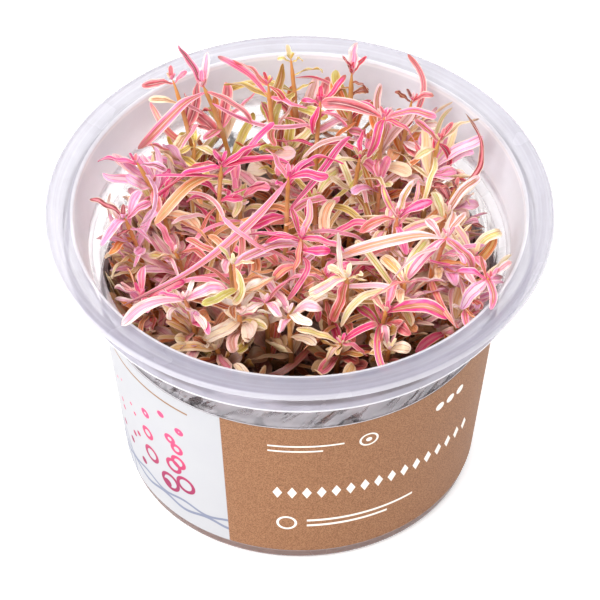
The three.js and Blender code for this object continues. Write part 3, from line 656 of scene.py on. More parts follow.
for _ in range(ROOT_THREADS):
    way = rng.uniform(0, math.tau)
    far = MAT_RADIUS * math.sqrt(rng.uniform(0.05, 1)) - 1.5 * MM
    foot = on_mat(way, far, 0.8 * MM)
    reach = Vector((rng.uniform(-6, 6), rng.uniform(-6, 6), rng.uniform(-1, 2.5))) * MM
    if (foot + reach).xy.length > MAT_RADIUS - 1 * MM:
        reach = -reach
    curve = bent(foot, reach, rng.uniform(0.2, 1.4) * MM, rng.uniform(-1.5, 1.5) * MM)
    pale = (*[channel * rng.uniform(0.4, 1) for channel in tint(176, 146, 116)[:3]], 0)
    growth.append(rod(THREAD, curve, rng.uniform(0.09, 0.2) * MM, pale, pale))
OLD_LOOKS = ["rose brown", "salmon rust", "cream green", "pale brown", "rust brown", "brown maroon",
             "maroon dark", "cream olive", "gold rust", "olive brown", "cream gold", "pale rose"]
PALER_LOOKS = ["white pale", "pale rose", "cream gold", "salmon gold", "salmon rust", "pale pink",
               "rust gold", "gold rust"]
for index in range(OLD_LEAVES + EDGE_LEAVES):
    way = rng.uniform(0, math.tau)
    at_edge = index >= OLD_LEAVES
    far = rng.uniform(29, 33.4) * MM if at_edge else (MAT_RADIUS - 3 * MM) * math.sqrt(rng.random())
    foot = on_mat(way, far, 0.5 * MM)
    turn = way + rng.choice([-1, 1]) * rng.uniform(1.3, 2.2) if at_edge else rng.uniform(0, math.tau)
    length = rng.uniform(4, 9 if at_edge else 10) * MM
    pitch = rng.uniform(0.5, 1.4) if at_edge else rng.uniform(0.2, 1.35)
    reach = Vector((math.cos(turn) * math.cos(pitch), math.sin(turn) * math.cos(pitch), math.sin(pitch)))
    if (foot + reach * length).xy.length > MAT_RADIUS - 1.5 * MM:
        reach.x, reach.y = -reach.x, -reach.y
    curve = bent(foot, reach * length, rng.uniform(0.3, 1.6) * MM, rng.uniform(-0.8, 0.8) * MM)
    words = rng.choice(PALER_LOOKS if foot.y > -16 * MM else OLD_LOOKS)
    look = look_of(words, rng.uniform(0.2, 0.8), rng.random() * 0.6, rng)
    growth.append(blade(OLD_BLADE, curve, rng.uniform(1.8, 4.2) * MM, look, rng, widest=rng.uniform(0.4, 0.8),
                        blunt=0.6, fold=rng.uniform(0.1, 0.6), twist=rng.uniform(-1, 1), wave=0.2 * MM))

STANDING_LOOKS = ["lilac pale", "white pale", "pale pink", "cream yellow", "cream gold", "pale rose"]
for index in range(STANDING_LEAVES + LEFT_LEAVES):
    at_left = index >= STANDING_LEAVES
    way = rng.uniform(*LEFT_SIDE) if at_left else rng.uniform(0, math.tau)
    tip_way = way + rng.uniform(-0.14, 0.14)
    rise = rng.uniform(9, 17) * MM if at_left else rng.uniform(5, 13) * MM
    foot = on_mat(way, rng.uniform(33.4, 34.6) * MM, 0.5 * MM)
    tip_radius = inner_radius(foot.z + rise) - (0.5 if at_left else 1) * MM
    tip = Vector((math.cos(tip_way), math.sin(tip_way), 0)) * tip_radius
    tip.z = foot.z + rise
    curve = bent(foot, tip - foot, 0.2 * MM, rng.uniform(-0.5, 0.5) * MM)
    look = look_of(rng.choice(STANDING_LOOKS), rng.uniform(0.1, 0.6), 0, rng)
    growth.append(blade(OLD_BLADE, curve, rng.uniform(2.2, 4.6) * MM, look, rng, widest=rng.uniform(0.4, 0.8),
                        blunt=0.6, fold=0.12, wave=0.15 * MM))

mat = grown_piece("root_mat_growth", growth, leaf_finish.material)
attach(mat, "root")
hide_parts("root_mat")


# Shoots
# Each shoot is one square golden stem with opposite pairs of narrow leaves, every pair a quarter turn on
# from the last, and a tuft of unfolding leaves at its tip. Leaves are pink to cream with a stripe.
STEM_RADIUS = 0.52 * MM
STEM_TONE = tint(212, 150, 76)
KNEE_LEAN = 0.25
KNEE_RISE = 0.6
BUD = 1.8 * MM
LEAF_BALL_STEP = 2.2 * MM
LEAF_BALLS_LEAST = 4
LEAF_BALL_SHARE = 0.42
LEAF_SWELL = 1.9
LEAF_NARROWING = 2.4
LEAF_PAST_TIP = 0.12
STEM_BALLS = 14
STEM_BALL = 0.9 * MM
LEAF_CLEARANCE = 0.35 * MM
WALL_CLEARANCE = 0.6 * MM
RIM_CLEARANCE = 0.4 * MM
MAT_CLEARANCE = 0.2 * MM
LEAF_TRIES = 18
TURN_STEP = 0.16
SHRINK_STEP = 0.02
CROWD_ROOM = 60000

# Name, tip, foot, leaves and looks of the shoots that show one by one, in millimetres. A leaf is its reach
# right, back and up, its arch, sway and width and, for a leaf lower down, the drop of its node under the tip.
SHOOTS = [
    ("back_left_tall", (-18.7, 29.4, 68), (-11, 27.5), [
        (-5, 4.3, 8, 0.6, 0.4, 2.2), (0.6, 4.2, 6, 0.3, 0, 1.6),
        (-13.5, -7.7, -8, 3, 0.5, 2.6, 1.4), (9.3, -7.8, -2, 1.2, 0.4, 1.9, 1),
    ], "pink maroon, pale pink, pink brown, rose maroon"),
    ("back_olive", (-6.1, 29.8, 68), (-4.5, 27), [
        (-7.1, 3.7, 4, 0.6, 0, 1.8), (3.6, -2.7, -2, 0.8, 0, 1.5),
        (-9.3, 2.8, 1, 1, 0, 2.6, 3), (7.6, -4, 1, 0.8, -0.5, 2, 3),
    ], "rose brown, crimson brown, yellow olive, pink crimson"),
    ("back_small", (-1.6, 37.6, 67), (0.5, 31), [
        (-2.9, 0.3, 0.8, 0.4, 0, 1.2), (2.4, 0, 0.8, 0.4, 0, 1.2),
        (-4.5, -1, 3, 0.5, 0, 1.6, 7), (4.2, 0.6, 2, 0.5, 0, 1.6, 7),
    ], "cream green, yellow green, green olive, yellow olive"),
    ("left_star", (-15.4, 9.3, 66), (-16.5, 8.5), [
        (8.7, 3.2, 4, 0.8, -0.4, 2.6), (13.5, -0.2, 1, 1.2, 0, 2.7),
        (-7.5, 0.7, -2, 1.4, 0, 2.1), (-13.2, -4.5, -4, 2.4, 0.6, 2.9),
        (-1.5, -0.3, 5, 0, 0.3, 1.4), (-13, -8.5, -5, 2.2, -1, 2.6, 2.5),
    ], "hot crimson, hot crimson, crimson maroon, hot crimson, pink hot, salmon olive"),
    ("left_wide", (-31.6, 12.1, 64), (-24, 13), [
        (-8.1, -1.1, 2, 0.8, 0, 2.4), (5.6, -1.6, 0, 0.6, 0, 1.8),
        (-4.2, 3.6, 1, 0.6, 0, 1.8, 8), (1.4, -5.8, -1, 1, 0, 2.2, 8),
    ], "hot pink, lilac maroon, pink brown, rose brown"),
    ("back_left_low", (-24.7, 29.7, 69), (-18, 22.5), [
        (-6.4, -1.9, 1, 0.6, 0, 2), (2.7, 1, 2.4, 0.2, 0, 1.4),
        (-6.4, -0.6, 2, 0.5, 0, 1.8, 5), (4.6, -3, 0, 0.6, 0, 1.7, 5),
    ], "rose maroon, pink rose, cream brown, pink brown"),
    ("left_yellow", (-20.8, 23, 58), (-22, 17.5), [
        (-4.4, -1.5, 1.5, 0.5, 0, 1.6), (4, -1.5, -0.5, 0.6, 0, 1.6),
        (-1.5, 4, 2, 0.4, 0, 1.4),
    ], "yellow olive, cream green, yellow green"),
    ("back_trident", (10.3, 34.8, 66), (9.5, 29.5), [
        (-1.7, 1, 5, 0, -0.3, 1.1), (2.9, 0.5, 5, 0, 0.3, 1.1), (1.2, 3.4, 6, 0, 0, 2.7),
        (3.4, -1, -2, 0.8, 0, 1.8, 1.5), (-3.4, -0.4, -2, 0.8, 0, 1.2, 3), (3.6, 1.4, 0, 0.8, 0, 1.6, 5),
    ], "crimson maroon, crimson maroon, pale pink, maroon brown, brown olive, brown maroon"),
    ("right_back_star", (16.6, 22.5, 66), (14.5, 19.5), [
        (-12.3, 2.2, 2, 1.6, 0, 3), (-4.2, -6.2, -4, 1.6, 0, 2.3), (10.5, -1.3, 3, 1.2, 0, 2),
        (7.5, -3.9, -5, 2.2, 0, 2.2), (2.4, 5.2, 1, 1, 0, 1.8, 3),
    ], "rose maroon, hot brown, pink brown, hot salmon, pale rose"),
    ("right_cluster", (27.3, 18.1, 64), (23.5, 17), [
        (7.9, 3.2, 4, 0.8, 0, 2), (2.8, 1, 5, 0, 0, 1.4), (1.6, -1.6, -8, -0.4, 1.6, 1.8),
        (-4.7, 2.8, 3.4, 0.6, 0, 1.8), (-4.4, -3.6, 1, 0.8, 0, 1.8, 2),
    ], "cream olive, rose maroon, crimson maroon, pink brown, cream green"),
    ("right_maroon_curl", (30.4, 12.6, 56), (27, 11), [
        (1.8, 7.6, 14, 0, -5, 1.7), (-4.8, -1, 2, 0.8, 0, 1.6), (3.6, -3.4, 1.6, 0.8, 0, 1.8, 2),
    ], "maroon rose, rose brown, cream pink"),
    ("right_back_small", (22, 29.1, 64), (18.5, 25.5), [
        (-3.3, 0.2, 3, 0.6, 0, 1.3), (4.5, -0.8, 3, 0.7, 0, 1.7),
        (-4.6, 1.6, 1, 0.6, 0, 1.8, 5), (5, 1, 0, 0.8, 0, 1.8, 5),
    ], "maroon brown, rose maroon, pink brown, pale brown"),
    ("centre_back", (11.7, 17, 60), (9.5, 14), [
        (-5, -2.8, 2, 0.6, 0, 2.4), (2.5, -2.5, -6, 1, 0, 1.6), (1, 4.6, 5, 0.4, 0, 1.8),
        (5.4, 2.2, 2, 0.8, 0, 2, 2),
    ], "cream green, brown olive, hot crimson, cream olive"),
    ("centre_back_hot", (4, 26.7, 66), (2.5, 22.5), [
        (5.1, 3.5, 5, 0.3, -0.6, 1.5), (-4, -0.9, 0.5, 0.6, 0, 1.2), (-1.4, -2.4, -6, 0.8, 0, 2.4),
        (5.6, -3, -1, 1, 0, 2, 2),
    ], "crimson hot, hot crimson, hot crimson, pink rose"),
    ("centre_long_arch", (-2.2, 3.9, 68), (-3, 2), [
        (-32.8, -23.3, -12, 1, 4.6, 3), (8, -0.9, 2, 1, 0, 2.6), (-4.6, 6, 3, 0.8, 0, 2),
        (5.2, 6.4, 0, 1, 0.6, 2.2, 2),
    ], "pink brown, hot crimson, pink brown, hot maroon"),
    ("left_loop", (-34, 2.4, 58), (-28.5, 1), [
        (-7.2, 1.6, 4.2, 1.8, 0, 1.8), (-4.6, -7, 0, 2.4, 0, 2.4), (5, 3, 2.4, 0.8, 0, 2.2),
        (4.6, -4.6, 0, 1, 0, 2.4, 2),
    ], "maroon rose, lilac pink, pink maroon, lilac pink"),
    ("front_left_pale", (-22.3, -19.3, 58), (-19, -16), [
        (7.8, -0.1, 4, 0.6, 0, 2.8), (-12.6, -13.4, 7.4, 1.8, 0, 2.9),
        (-4.8, 4.4, 2, 0.8, 0, 1.8), (3.4, -5, -1, 1, 0, 2, 3),
    ], "pale pink, pale pink, pink hot, white pale"),
    ("front_cream_tall", (-12.7, -17.9, 66), (-11, -18.5), [
        (-3, 1.5, 4, 0.2, 0, 1.7), (-0.3, -0.6, -9.5, 0, 2, 2.3), (4, 0, 1, 0.5, 0, 1.2),
        (-9.3, -2.6, 0, 1.2, 0, 3.2, 16), (5.4, -1.8, 0, 0.8, 0, 1.9, 16),
    ], "cream green, cream green, cream salmon, white cream, cream yellow"),
    ("front_pink_arch", (-6.7, -18.2, 56), (-6, -14.5), [
        (6.6, 5.6, 10, -0.6, 2.4, 2.6), (-5.4, -2.4, 0, 0.8, 0, 2.8), (3.4, -4.4, 1, 0.8, 0, 2.2),
    ], "pink brown, white pale, pale pink"),
    ("right_hot", (19.1, -1.2, 62), (17, -1), [
        (6.9, 2.2, 3, 0.8, 0, 2.3), (3, 3, 8, 0, 0, 2.2), (-3.3, 1.7, 8, 0, 0, 1.6),
        (-7.4, -2.4, -1, 1.4, 0, 2.2), (2.2, -6, -2, 1.2, 0, 2.2, 2),
    ], "hot pink, pale olive, pink yellow, rose brown, pink hot"),
    ("right_front_star", (28.5, -8.3, 64), (24, -6), [
        (-7.2, -7.4, -4, 1.4, 0, 2.6), (5.3, -5.3, -4, 1.4, 0, 2.2), (-21.3, -0.7, -6, 4, 0.6, 2.8),
        (4, 4, 3, 0.6, 0, 1.6), (-3.4, 6, 1, 1, 0, 2, 2),
    ], "pink pale, pink brown, pale rust, pale brown, pale rose"),
    ("front_cross", (9.3, -15.3, 60), (9, -11.5), [
        (-7.2, -3.7, -1, 1, 0, 2.6), (3.8, -0.9, 0, 0.5, 0, 1.6), (-3.9, 2.4, 1, 0.5, 0, 1.8),
        (-1.5, 4.8, 8, -0.4, 1, 1.4), (12.9, -4.1, 2, -1, 0, 2, 8), (-2.4, -2.6, -9, 0.6, 0, 2.6, 1),
    ], "cream pink, cream yellow, cream salmon, white pale, cream olive, rose brown"),
    ("front_magenta", (8, -23.2, 50), (7, -19.5), [
        (7.3, 1.5, 4, 0.8, 0, 3), (5.5, -2.4, -1, 0.8, 0, 2), (-8.7, 0.8, 3, 1, 0, 1.8),
        (-3.2, -3.6, -4, 1, 0, 3),
    ], "hot crimson, pink rose, cream yellow, cream pale"),
    ("right_rim_star", (36.6, -17.6, 62), (27.5, -13), [
        (-6.3, 0.2, 2, 0.8, 0, 2.6), (0.6, -10.5, 2.4, 2, 0.4, 1.9), (-5.1, -6, -2, 1, 0, 3),
        (-1.5, 2.8, 4, 0, 0, 1.2), (4.8, 0.5, 5, 0.2, 0, 1.6),
    ], "hot pink, pink brown, lilac pale, rose brown, pale rose"),
    ("front_right_broad", (16.8, -17.8, 53), (15, -15.5), [
        (12.6, -1.4, 1, 1.6, 0, 3.4), (-3.8, 4, 2, 0.8, 0, 2), (3, 5, 4, 0.6, 0, 2.2),
    ], "hot olive, cream rose, rose pink"),
    ("centre_star", (0.3, -8.7, 64), (0, -6), [
        (8.4, -1.8, -2, 1.4, 0, 2.3), (2.4, 4, 7, 0, 0, 1.8), (-2, 3, 6, 0, 0, 1.6),
        (-7.2, -0.9, 0, 1.2, 0, 2), (-1.2, -2.8, -7, 0.6, 0, 1.8), (-13.3, -3.9, -2, 2.2, 0, 2.8, 2),
        (-10.3, 1.6, 2, 1.2, 0, 2.2, 1),
    ], "hot rose, pink salmon, hot brown, hot crimson, rose salmon, lilac brown, hot pink"),
    ("front_right_cream", (17.4, -24, 49), (16.5, -20.5), [
        (4.4, -0.4, 0.6, 0.6, 0, 2.6), (-3.8, -2.4, 1, 0.6, 0, 2), (-1, 4, 3, 0.6, 0, 1.8),
    ], "white cream, cream yellow, pale pink"),
]
GROWN = {"arch_share": 0.06, "arch": 0.6, "sway": 0.8, "width": 1.7, "width_span": 1.1, "droop": 1}
WANDER = 0.5
LOWER = {"shares": [0.3, 0.56], "length": 6.5, "length_span": 4.5, "pitch": 0.1, "pitch_span": 0.5}
LOWER_SEED = 201
YOUNG_LOOK_SEED = 70
CREAMY_FROM = -10
YOUNG = {
    "count": 21, "spread": 31, "start": 0.4, "spacing": 3.1, "step": 0.17, "goes": 24,
    "height": 49, "height_span": 10, "front_from": -8, "front_fall": 0.28, "lean": 1.08, "lean_span": 0.1,
    "length": 6, "length_span": 6, "pitch": 0.15, "pitch_span": 0.75, "pair_drop": 1.6,
}
GOLDEN_ANGLE = math.pi * (3 - math.sqrt(5))

# The room left for tweezers beside the shoots, in millimetres, that no leaf may cross.
OPENINGS = [((-11.5, -35.5, 50), (12, -28.5, 63)), ((13, -34, 54.5), (23, -20.5, 63)),
            ((32.5, -1.5, 46), (37, 5.5, 63))]


def random_row(seed):
    """A repeatable row of numbers from 0 to 1, the same that the plain solid shoots grew from."""
    modulus, factor, spread, offset = 2147483647, 16807, 7919, 104729
    state = (seed * spread + offset) % modulus
    for count in range(10 ** 9):
        state = state * factor % modulus
        if count >= 2:
            yield state / modulus


def drawn(row, rule, name):
    """A number by rule: its least value and a part of its span."""
    return rule[name] + rule[name + "_span"] * next(row)


def grown_leaf(row, way, length, pitch, drop):
    """A leaf by rule: seven numbers as in the table above."""
    flat = length * math.cos(pitch)
    arch = GROWN["arch_share"] * length + GROWN["arch"] * next(row)
    sway = GROWN["sway"] * (next(row) - 0.5)
    width = drawn(row, GROWN, "width")
    rise = length * math.sin(pitch) - GROWN["droop"]
    return (flat * math.cos(way), flat * math.sin(way), rise, arch, sway, width, drop)


def lower_pairs(index, height):
    """Two opposite pairs lower on the stem, the second turned a quarter from the first."""
    row = random_row(index + LOWER_SEED)
    start = math.tau * next(row)
    leaves = []
    for k in range(4):
        pair = k // 2
        way = start + math.pi * (k + 0.5 * pair) + WANDER * (next(row) - 0.5)
        length = drawn(row, LOWER, "length")
        pitch = drawn(row, LOWER, "pitch")
        leaves.append(grown_leaf(row, way, length, pitch, height * LOWER["shares"][pair]))
    return leaves


def young_shoot(index, feet):
    """A lower shoot on a spiral between the tall ones."""
    row = random_row(index + 1)
    spread = YOUNG["spread"] * math.sqrt((index + 0.6) / YOUNG["count"])
    angle = GOLDEN_ANGLE * index + YOUNG["start"]
    for _ in range(YOUNG["goes"]):
        foot = (spread * math.cos(angle), spread * math.sin(angle))
        if all(math.dist(foot, other) > YOUNG["spacing"] for other in feet):
            break
        angle += YOUNG["step"]
    front = max(0, YOUNG["front_from"] - foot[1]) * YOUNG["front_fall"]
    height = drawn(row, YOUNG, "height") - front
    lean = drawn(row, YOUNG, "lean")
    tip = (foot[0] * lean + next(row) - 0.5, foot[1] * lean + next(row) - 0.5, height)
    start = math.tau * next(row)
    leaves = []
    for k in range(4):
        way = start + 0.5 * math.pi * k + WANDER * (next(row) - 0.5)
        length = drawn(row, YOUNG, "length")
        pitch = drawn(row, YOUNG, "pitch")
        leaves.append(grown_leaf(row, way, length, pitch, YOUNG["pair_drop"] * (k % 2)))
    return f"young_{index + 1:02d}", tip, foot, leaves


def young_looks(foot, rng):
    """Colour words for a young shoot by where it stands: creamy in front, greener at the back left."""
    if foot[1] < CREAMY_FROM:
        choice = ["cream yellow", "white cream", "pale pink", "cream green", "cream gold", "cream salmon"]
    elif foot[0] > 8:
        choice = ["pale brown", "cream green", "pink rose", "cream pink", "pink brown", "lilac pink"]
    elif foot[1] > 12:
        choice = ["yellow olive", "pale brown", "cream green", "pink rose", "green olive", "pink brown"]
    else:
        choice = ["salmon brown", "pink rose", "rose brown", "cream salmon", "pale pink", "hot rose"]
    return [rng.choice(choice) for _ in range(6)]


feet = [shoot[2] for shoot in SHOOTS]
shoots = [(*shoot[:4], shoot[4].split(", ")) for shoot in SHOOTS]
for index in range(YOUNG["count"]):
    name, tip, foot, leaves = young_shoot(index, feet)
    feet.append(foot)
    shoots.append((name, tip, foot, leaves, young_looks(foot, random.Random(index + YOUNG_LOOK_SEED))))


def stem_curve(tip, foot):
    """Foot, knee and bud of a stem."""
    x, y = foot[0] * MM, foot[1] * MM
    base = Vector((x, y, mat_height(x, y)))
    top = Vector(tip) * MM
    knee = Vector((x + KNEE_LEAN * (top.x - x), y + KNEE_LEAN * (top.y - y),
                   base.z + KNEE_RISE * (top.z - base.z)))
    return base, knee, top + (top - knee).normalized() * BUD


stems = [stem_curve(shoot[1], shoot[2]) for shoot in shoots]


def in_opening(points):
    """True where any of the points lies in the room left for tweezers."""
    for low, high in OPENINGS:
        inside = (points > np.array(low) * MM) & (points < np.array(high) * MM)
        if inside.all(axis=1).any():
            return True
    return False


crowd = {"at": np.zeros((CROWD_ROOM, 3)), "radius": np.zeros(CROWD_ROOM),
         "owner": np.zeros(CROWD_ROOM, int), "count": 0}


def stand(points, radii, owner):
    """Adds a leaf's or stem's balls to the crowd that later leaves keep clear of."""
    first = crowd["count"]
    last = first + len(points)
    crowd["at"][first:last] = points
    crowd["radius"][first:last] = radii
    crowd["owner"][first:last] = owner
    crowd["count"] = last


def clears(points, radii, owner, slack):
    """True where a leaf's balls keep clear of the cup, the mat and every other shoot."""
    for (x, y, z), radius in zip(points, radii):
        over_rim = z > CUP_HEIGHT + radius + RIM_CLEARANCE
        inside_wall = math.hypot(x, y) + radius + WALL_CLEARANCE < inner_radius(z)
        if not (over_rim or inside_wall) or z <= mat_height(x, y) + radius + MAT_CLEARANCE:
            return False
    count = crowd["count"]
    others = crowd["owner"][:count] != owner
    away = np.linalg.norm(points[:, None] - crowd["at"][None, :count][:, others], axis=2)
    room = radii[:, None] + crowd["radius"][None, :count][:, others] + LEAF_CLEARANCE - slack
    return bool((away > room).all())


def fitted(node, leaf, owner, slack):
    """The leaf's middle line, turned and shortened little by little until it touches no other shoot."""
    dx, dy, dz, arch, sway, width = (value * MM for value in leaf[:6])
    for go in range(LEAF_TRIES):
        turn = TURN_STEP * math.ceil(go / 2) * (1 if go % 2 else -1)
        scale = 1 - SHRINK_STEP * go
        reach = Vector((dx * math.cos(turn) - dy * math.sin(turn),
                        dx * math.sin(turn) + dy * math.cos(turn), dz))
        curve = bent(node, reach * scale, scale * arch, scale * sway)
        count = max(LEAF_BALLS_LEAST, math.ceil(reach.length * scale / LEAF_BALL_STEP))
        shares = [i / count for i in range(1, count + 1)]
        points = np.array([at(curve, t) for t in shares])
        forms = [min(1, LEAF_SWELL * t, LEAF_NARROWING * (1 + LEAF_PAST_TIP - t)) for t in shares]
        radii = LEAF_BALL_SHARE * width * np.array(forms)
        if clears(points, radii, owner, slack):
            stand(points, radii, owner)
            return curve
    return None


for owner, curve in enumerate(stems):
    points = np.array([at(curve, i / STEM_BALLS) for i in range(STEM_BALLS + 1)])
    stand(points, np.full(STEM_BALLS + 1, STEM_BALL), owner)

EXTRA_SLACK = 1.1 * MM
grown = [[] for _ in shoots]


def grow(owner, share, leaf, kind, slack=EXTRA_SLACK):
    """Adds a leaf to a shoot at its share of the stem's length, if there is room for it."""
    middle = fitted(at(stems[owner], share), leaf, owner, slack)
    if middle:
        grown[owner].append((middle, leaf[5] * MM, kind, share))


for owner, (name, tip, foot, leaves, looks) in enumerate(shoots):
    height = stems[owner][2].z - stems[owner][0].z
    for k, leaf in enumerate([*leaves, *lower_pairs(owner, height / MM)]):
        grow(owner, 1 - (BUD + sum(leaf[6:]) * MM) / height, leaf, k, 0)

# More leaves between the pairs above: a few broad ones that show one by one, long straps that lean across
# the stand, short spoon-shaped ones, broad pale ones low down, and some that press up against the wall.
BROAD_LEAVES = [
    ("centre_back", 0.4, (-1.6, -3.6, 1.5, 0.6, 0, 4.8), "cream salmon"),
    ("front_pink_arch", 0.4, (4.6, -8, 5, -0.6, 0, 4.6), "cream olive"),
    ("left_loop", 0.3, (-1.5, 6.5, -1, 0.8, 0, 4.4), "rust gold"),
    ("left_loop", 0.36, (2.5, 3.4, 1, 0.8, 0, 4), "cream gold"),
    ("left_wide", 0.3, (-5.5, -4, -1, 0.8, 0, 4.2), "rust brown"),
    ("right_hot", 0.36, (3, -5, 1, 0.8, 0, 4.4), "salmon gold"),
    ("right_front_star", 0.4, (3, -5.5, 2, 0.6, 0, 4.2), "cream salmon"),
    ("centre_star", 0.36, (5, -4, 1, 0.6, 0, 4.4), "pale gold"),
    ("left_star", 0.4, (5, -3, 1, 0.6, 0, 4.4), "white pale"),
]
STRAP = {"length": (9, 21), "pitch": (-0.15, 0.7), "width": (1.2, 2.1)}
SPOON = {"length": (3.5, 8.5), "pitch": (0.1, 1.1), "width": (1.2, 2.6)}
PALE_SPOON_WIDTH = (2.4, 4.4)
PALE_SHARE = 0.75
LOW_SHARE = 0.6
EXTRA_LEVELS = 9
EXTRA_SEED = 900
LOOK_SEED = 300
BACK_FROM = 16
FRONT_FROM = -12
SIDE_FROM = 18
PRESSED = 10
PRESSED_AT_SIDE = 28
NEAR_WALL = 20
owners = [shoot[0] for shoot in shoots]

# A leaf's kind is its number among its shoot's pairs, or one of these. Each broad leaf adds its own row.
WALL_LEAF = 40
PALE_LEAF = 60
BROAD_LEAF = 80
SMALL_LEAF = 100
for row, (name, share, leaf, words) in enumerate(BROAD_LEAVES):
    grow(owners.index(name), share, leaf, BROAD_LEAF + row)
for owner, (name, tip, foot, leaves, looks) in enumerate(shoots):
    rng = random.Random(EXTRA_SEED + owner)
    start = rng.uniform(0, math.tau)
    kept_share = 0.32 if foot[1] > BACK_FROM else 0.6 if foot[1] > FRONT_FROM else 0.54
    strap_share = 0.18 if foot[1] < FRONT_FROM else 0.5
    for level in range(EXTRA_LEVELS):
        share = 0.1 + 0.84 * (level + rng.uniform(-0.2, 0.2)) / EXTRA_LEVELS
        for k in range(2):
            way = start + math.pi * k + 0.5 * math.pi * level + rng.uniform(-0.5, 0.5)
            strap = rng.random() < strap_share
            pale = not strap and share < LOW_SHARE and rng.random() < PALE_SHARE
            kind = STRAP if strap else SPOON
            length = rng.uniform(*kind["length"])
            pitch = rng.uniform(*kind["pitch"])
            width = rng.uniform(*(PALE_SPOON_WIDTH if pale else kind["width"]))
            flat = length * math.cos(pitch)
            leaf = (flat * math.cos(way), flat * math.sin(way), length * math.sin(pitch) - 0.4,
                    rng.uniform(0.05, 0.2) * length, rng.uniform(-0.2, 0.2) * length, width)
            if rng.random() <= kept_share + (0.3 if foot[1] > BACK_FROM and share < 0.5 else 0):
                grow(owner, share, leaf, PALE_LEAF if pale else SMALL_LEAF)
    if math.hypot(*foot) > NEAR_WALL:
        outward = math.atan2(foot[1], foot[0])
        for _ in range(PRESSED_AT_SIDE if abs(foot[0]) > SIDE_FROM else PRESSED):
            way = outward + rng.choice([-1, 1]) * rng.uniform(0.1, 1.3)
            far = rng.uniform(5, 10)
            leaf = (far * math.cos(way), far * math.sin(way), rng.uniform(1, 10), 0.4, rng.uniform(-1, 1),
                    rng.uniform(1.4, 3.4))
            grow(owner, rng.uniform(0.04, 0.75), leaf, WALL_LEAF)

SIDE_LOOKS = ["lilac pale", "white pale", "pale pink", "cream yellow", "rust gold", "lilac pink",
              "cream gold"]
PALE_LOOKS = ["white pale", "salmon gold", "cream salmon", "cream yellow", "pale gold", "cream gold"]
FRONT_LOOKS = ["salmon brown", "gold brown", "rust brown", "cream brown", "salmon gold", "cream gold",
               "cream olive"]
INNER_LOOKS = ["white pale", "pale pink", "salmon gold", "pink rose", "cream gold", "pale rose",
               "rose salmon"]
WALL_LOOKS = ["olive brown", "brown maroon", "rust brown", "rose maroon", "green olive", "pale brown"]
STRAP_LENGTH = 8 * MM
SPOON_FORM = {"stalk": (0.18, 0.35), "widest": (0.5, 0.8), "blunt": (0.55, 0.75), "fold": (0.1, 0.6),
              "twist": (-1.7, 1.7), "wave": (0.1 * MM, 0.45 * MM)}
STRAP_FORM = {**SPOON_FORM, "stalk": (0.3, 0.5), "widest": (0.2, 0.5), "blunt": (0.6, 0.9),
              "snake": (0.2 * MM, 0.9 * MM)}
TUFT_LENGTHS = [2.8 * MM, 2.8 * MM, 1.9 * MM, 1.9 * MM]
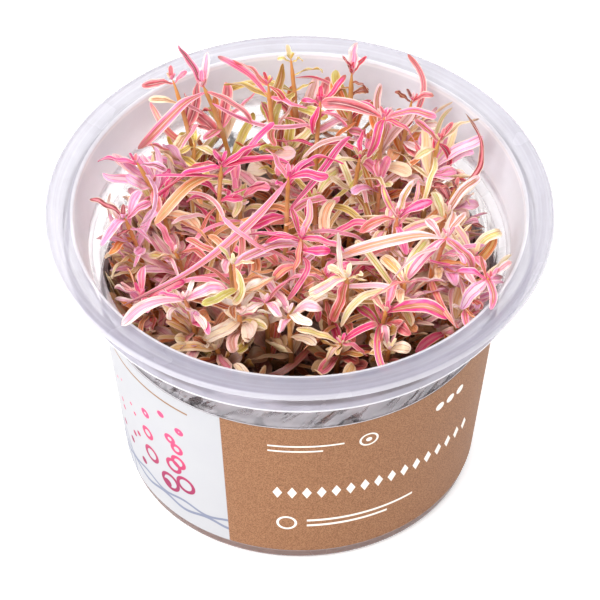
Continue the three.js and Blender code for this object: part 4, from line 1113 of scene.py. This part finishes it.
for owner, (name, tip, foot, leaves, looks) in enumerate(shoots):
    rng = random.Random(LOOK_SEED + owner)
    curve = stems[owner]
    warm_tone = TONES[rng.choice(["yellow", "olive", "gold", "rust"])]
    top_tone = TONES[rng.choice(["rose", "gold", "olive", "rust"])]
    low = [0.75 * a + 0.25 * b for a, b in zip(STEM_TONE, warm_tone)]
    high = [0.8 * a + 0.2 * b for a, b in zip(STEM_TONE, top_tone)]
    knots = sorted({round(share, 2) for _, _, k, share in grown[owner] if k < WALL_LEAF})
    rooted = (curve[0] - Vector((0, 0, 2 * MM)), curve[1], curve[2])
    parts = [rod(STEM, rooted, STEM_RADIUS, (*low[:3], 0), (*high[:3], 0), 0.16, knots)]
    for middle, width, k, share in grown[owner]:
        words = looks[k] if k < len(looks) else looks[rng.randrange(len(looks))]
        if k == WALL_LEAF:
            words = rng.choice(SIDE_LOOKS if abs(foot[0]) > SIDE_FROM else WALL_LOOKS)
        if k == PALE_LEAF:
            words = rng.choice(PALE_LOOKS)
        if k == SMALL_LEAF and share < LOW_SHARE:
            words = rng.choice(FRONT_LOOKS if foot[1] < CREAMY_FROM else INNER_LOOKS)
        if BROAD_LEAF <= k < SMALL_LEAF:
            words = BROAD_LEAVES[k - BROAD_LEAF][3]
        strength = rng.uniform(0.7, 1) if k < WALL_LEAF else rng.uniform(0.4, 1)
        strength *= 0.45 if PALE_LEAF <= k < SMALL_LEAF else 1
        look = look_of(words, strength, rng.random() * 0.8 if rng.random() < 0.35 else 0, rng)
        strap = (middle[2] - middle[0]).length > STRAP_LENGTH
        width *= (0.86 if k < len(looks) else 0.74) if strap else 0.95
        spans = STRAP_FORM if strap else SPOON_FORM
        form = {part: rng.uniform(*span) for part, span in spans.items()}
        body = LONG_BLADE if strap else SHORT_BLADE
        leaf = blade(body, middle, width, look, rng, **form)
        if in_opening(leaf[1]) and k < WALL_LEAF:
            form.update(twist=0, wave=0, snake=0)
            leaf = blade(body, middle, 0.8 * width, look, rng, **form)
        if not in_opening(leaf[1]):
            parts.append(leaf)
    turn = rng.uniform(0, math.tau)
    for k, length in enumerate(TUFT_LENGTHS):
        length *= rng.uniform(0.8, 1.2)
        way = turn + math.pi * k + (0.5 * math.pi if k > 1 else 0)
        reach = Vector((0.45 * math.cos(way), 0.45 * math.sin(way), 0.9)) * length
        tuft = bent(curve[2] - Vector((0, 0, 0.9 * MM)), reach, -0.1 * length, 0)
        look = look_of(looks[k % len(looks)], 0.3, 0, rng)
        parts.append(blade(OLD_BLADE, tuft, 0.34 * length, look, rng, fold=0.6))
    shoot = grown_piece(name + "_stem_and_leaves", parts, leaf_finish.material)
    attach(shoot, "root")
    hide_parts("shoot_" + name)


# Studio
# A plain pale floor, three soft boxes overhead and a pale surround, seen from the photograph's place: a
# long lens about 45 degrees above the table.
CAMERA_TILT = math.radians(45.6)
CAMERA_AWAY = 2.435
CAMERA_LENS = 740
LOOK_AT = Vector((0.0001, 0, 0.0385))

ground = bmesh.new()
bmesh.ops.create_grid(ground, x_segments=2, y_segments=2, size=3)
paint = Finish("pale_floor", {"Base Color": tint(250, 250, 251), "Roughness": 0.7, "Specular IOR Level": 0.1,
                              "Emission Color": (1, 1, 1, 1), "Emission Strength": 0.4})
floor = piece("floor", ground, paint.material)

camera_data = bpy.data.cameras.new("camera")
camera_data.lens = CAMERA_LENS
camera_data.clip_end = 20
camera = bpy.data.objects.new("camera", camera_data)
back = Vector((0, -math.cos(CAMERA_TILT), math.sin(CAMERA_TILT)))
camera.location = LOOK_AT + back * CAMERA_AWAY
camera.rotation_euler = (-back).to_track_quat("-Z", "Y").to_euler()
bpy.context.scene.collection.objects.link(camera)
bpy.context.scene.camera = camera


def soft_light(name, place, size, power):
    """A square soft box that faces the cup."""
    data = bpy.data.lights.new(name, "AREA")
    data.shape = "SQUARE"
    data.size = size
    data.energy = power
    made = bpy.data.objects.new(name, data)
    made.location = place
    made.rotation_euler = (LOOK_AT - Vector(place)).to_track_quat("-Z", "Y").to_euler()
    bpy.context.scene.collection.objects.link(made)


soft_light("key", (-0.46, -0.43, 0.68), 0.8, 7.4)
soft_light("fill", (-0.2, -0.4, 0.8), 0.5, 1.1)
soft_light("back", (0.25, 0.5, 0.65), 0.5, 2.4)
world = bpy.data.worlds.new("studio")
world.use_nodes = True
surround = world.node_tree.nodes["Background"]
surround.inputs["Color"].default_value = (1, 1, 1, 1)
surround.inputs["Strength"].default_value = 0.67
bpy.context.scene.world = world
bpy.context.scene.view_settings.view_transform = "Standard"
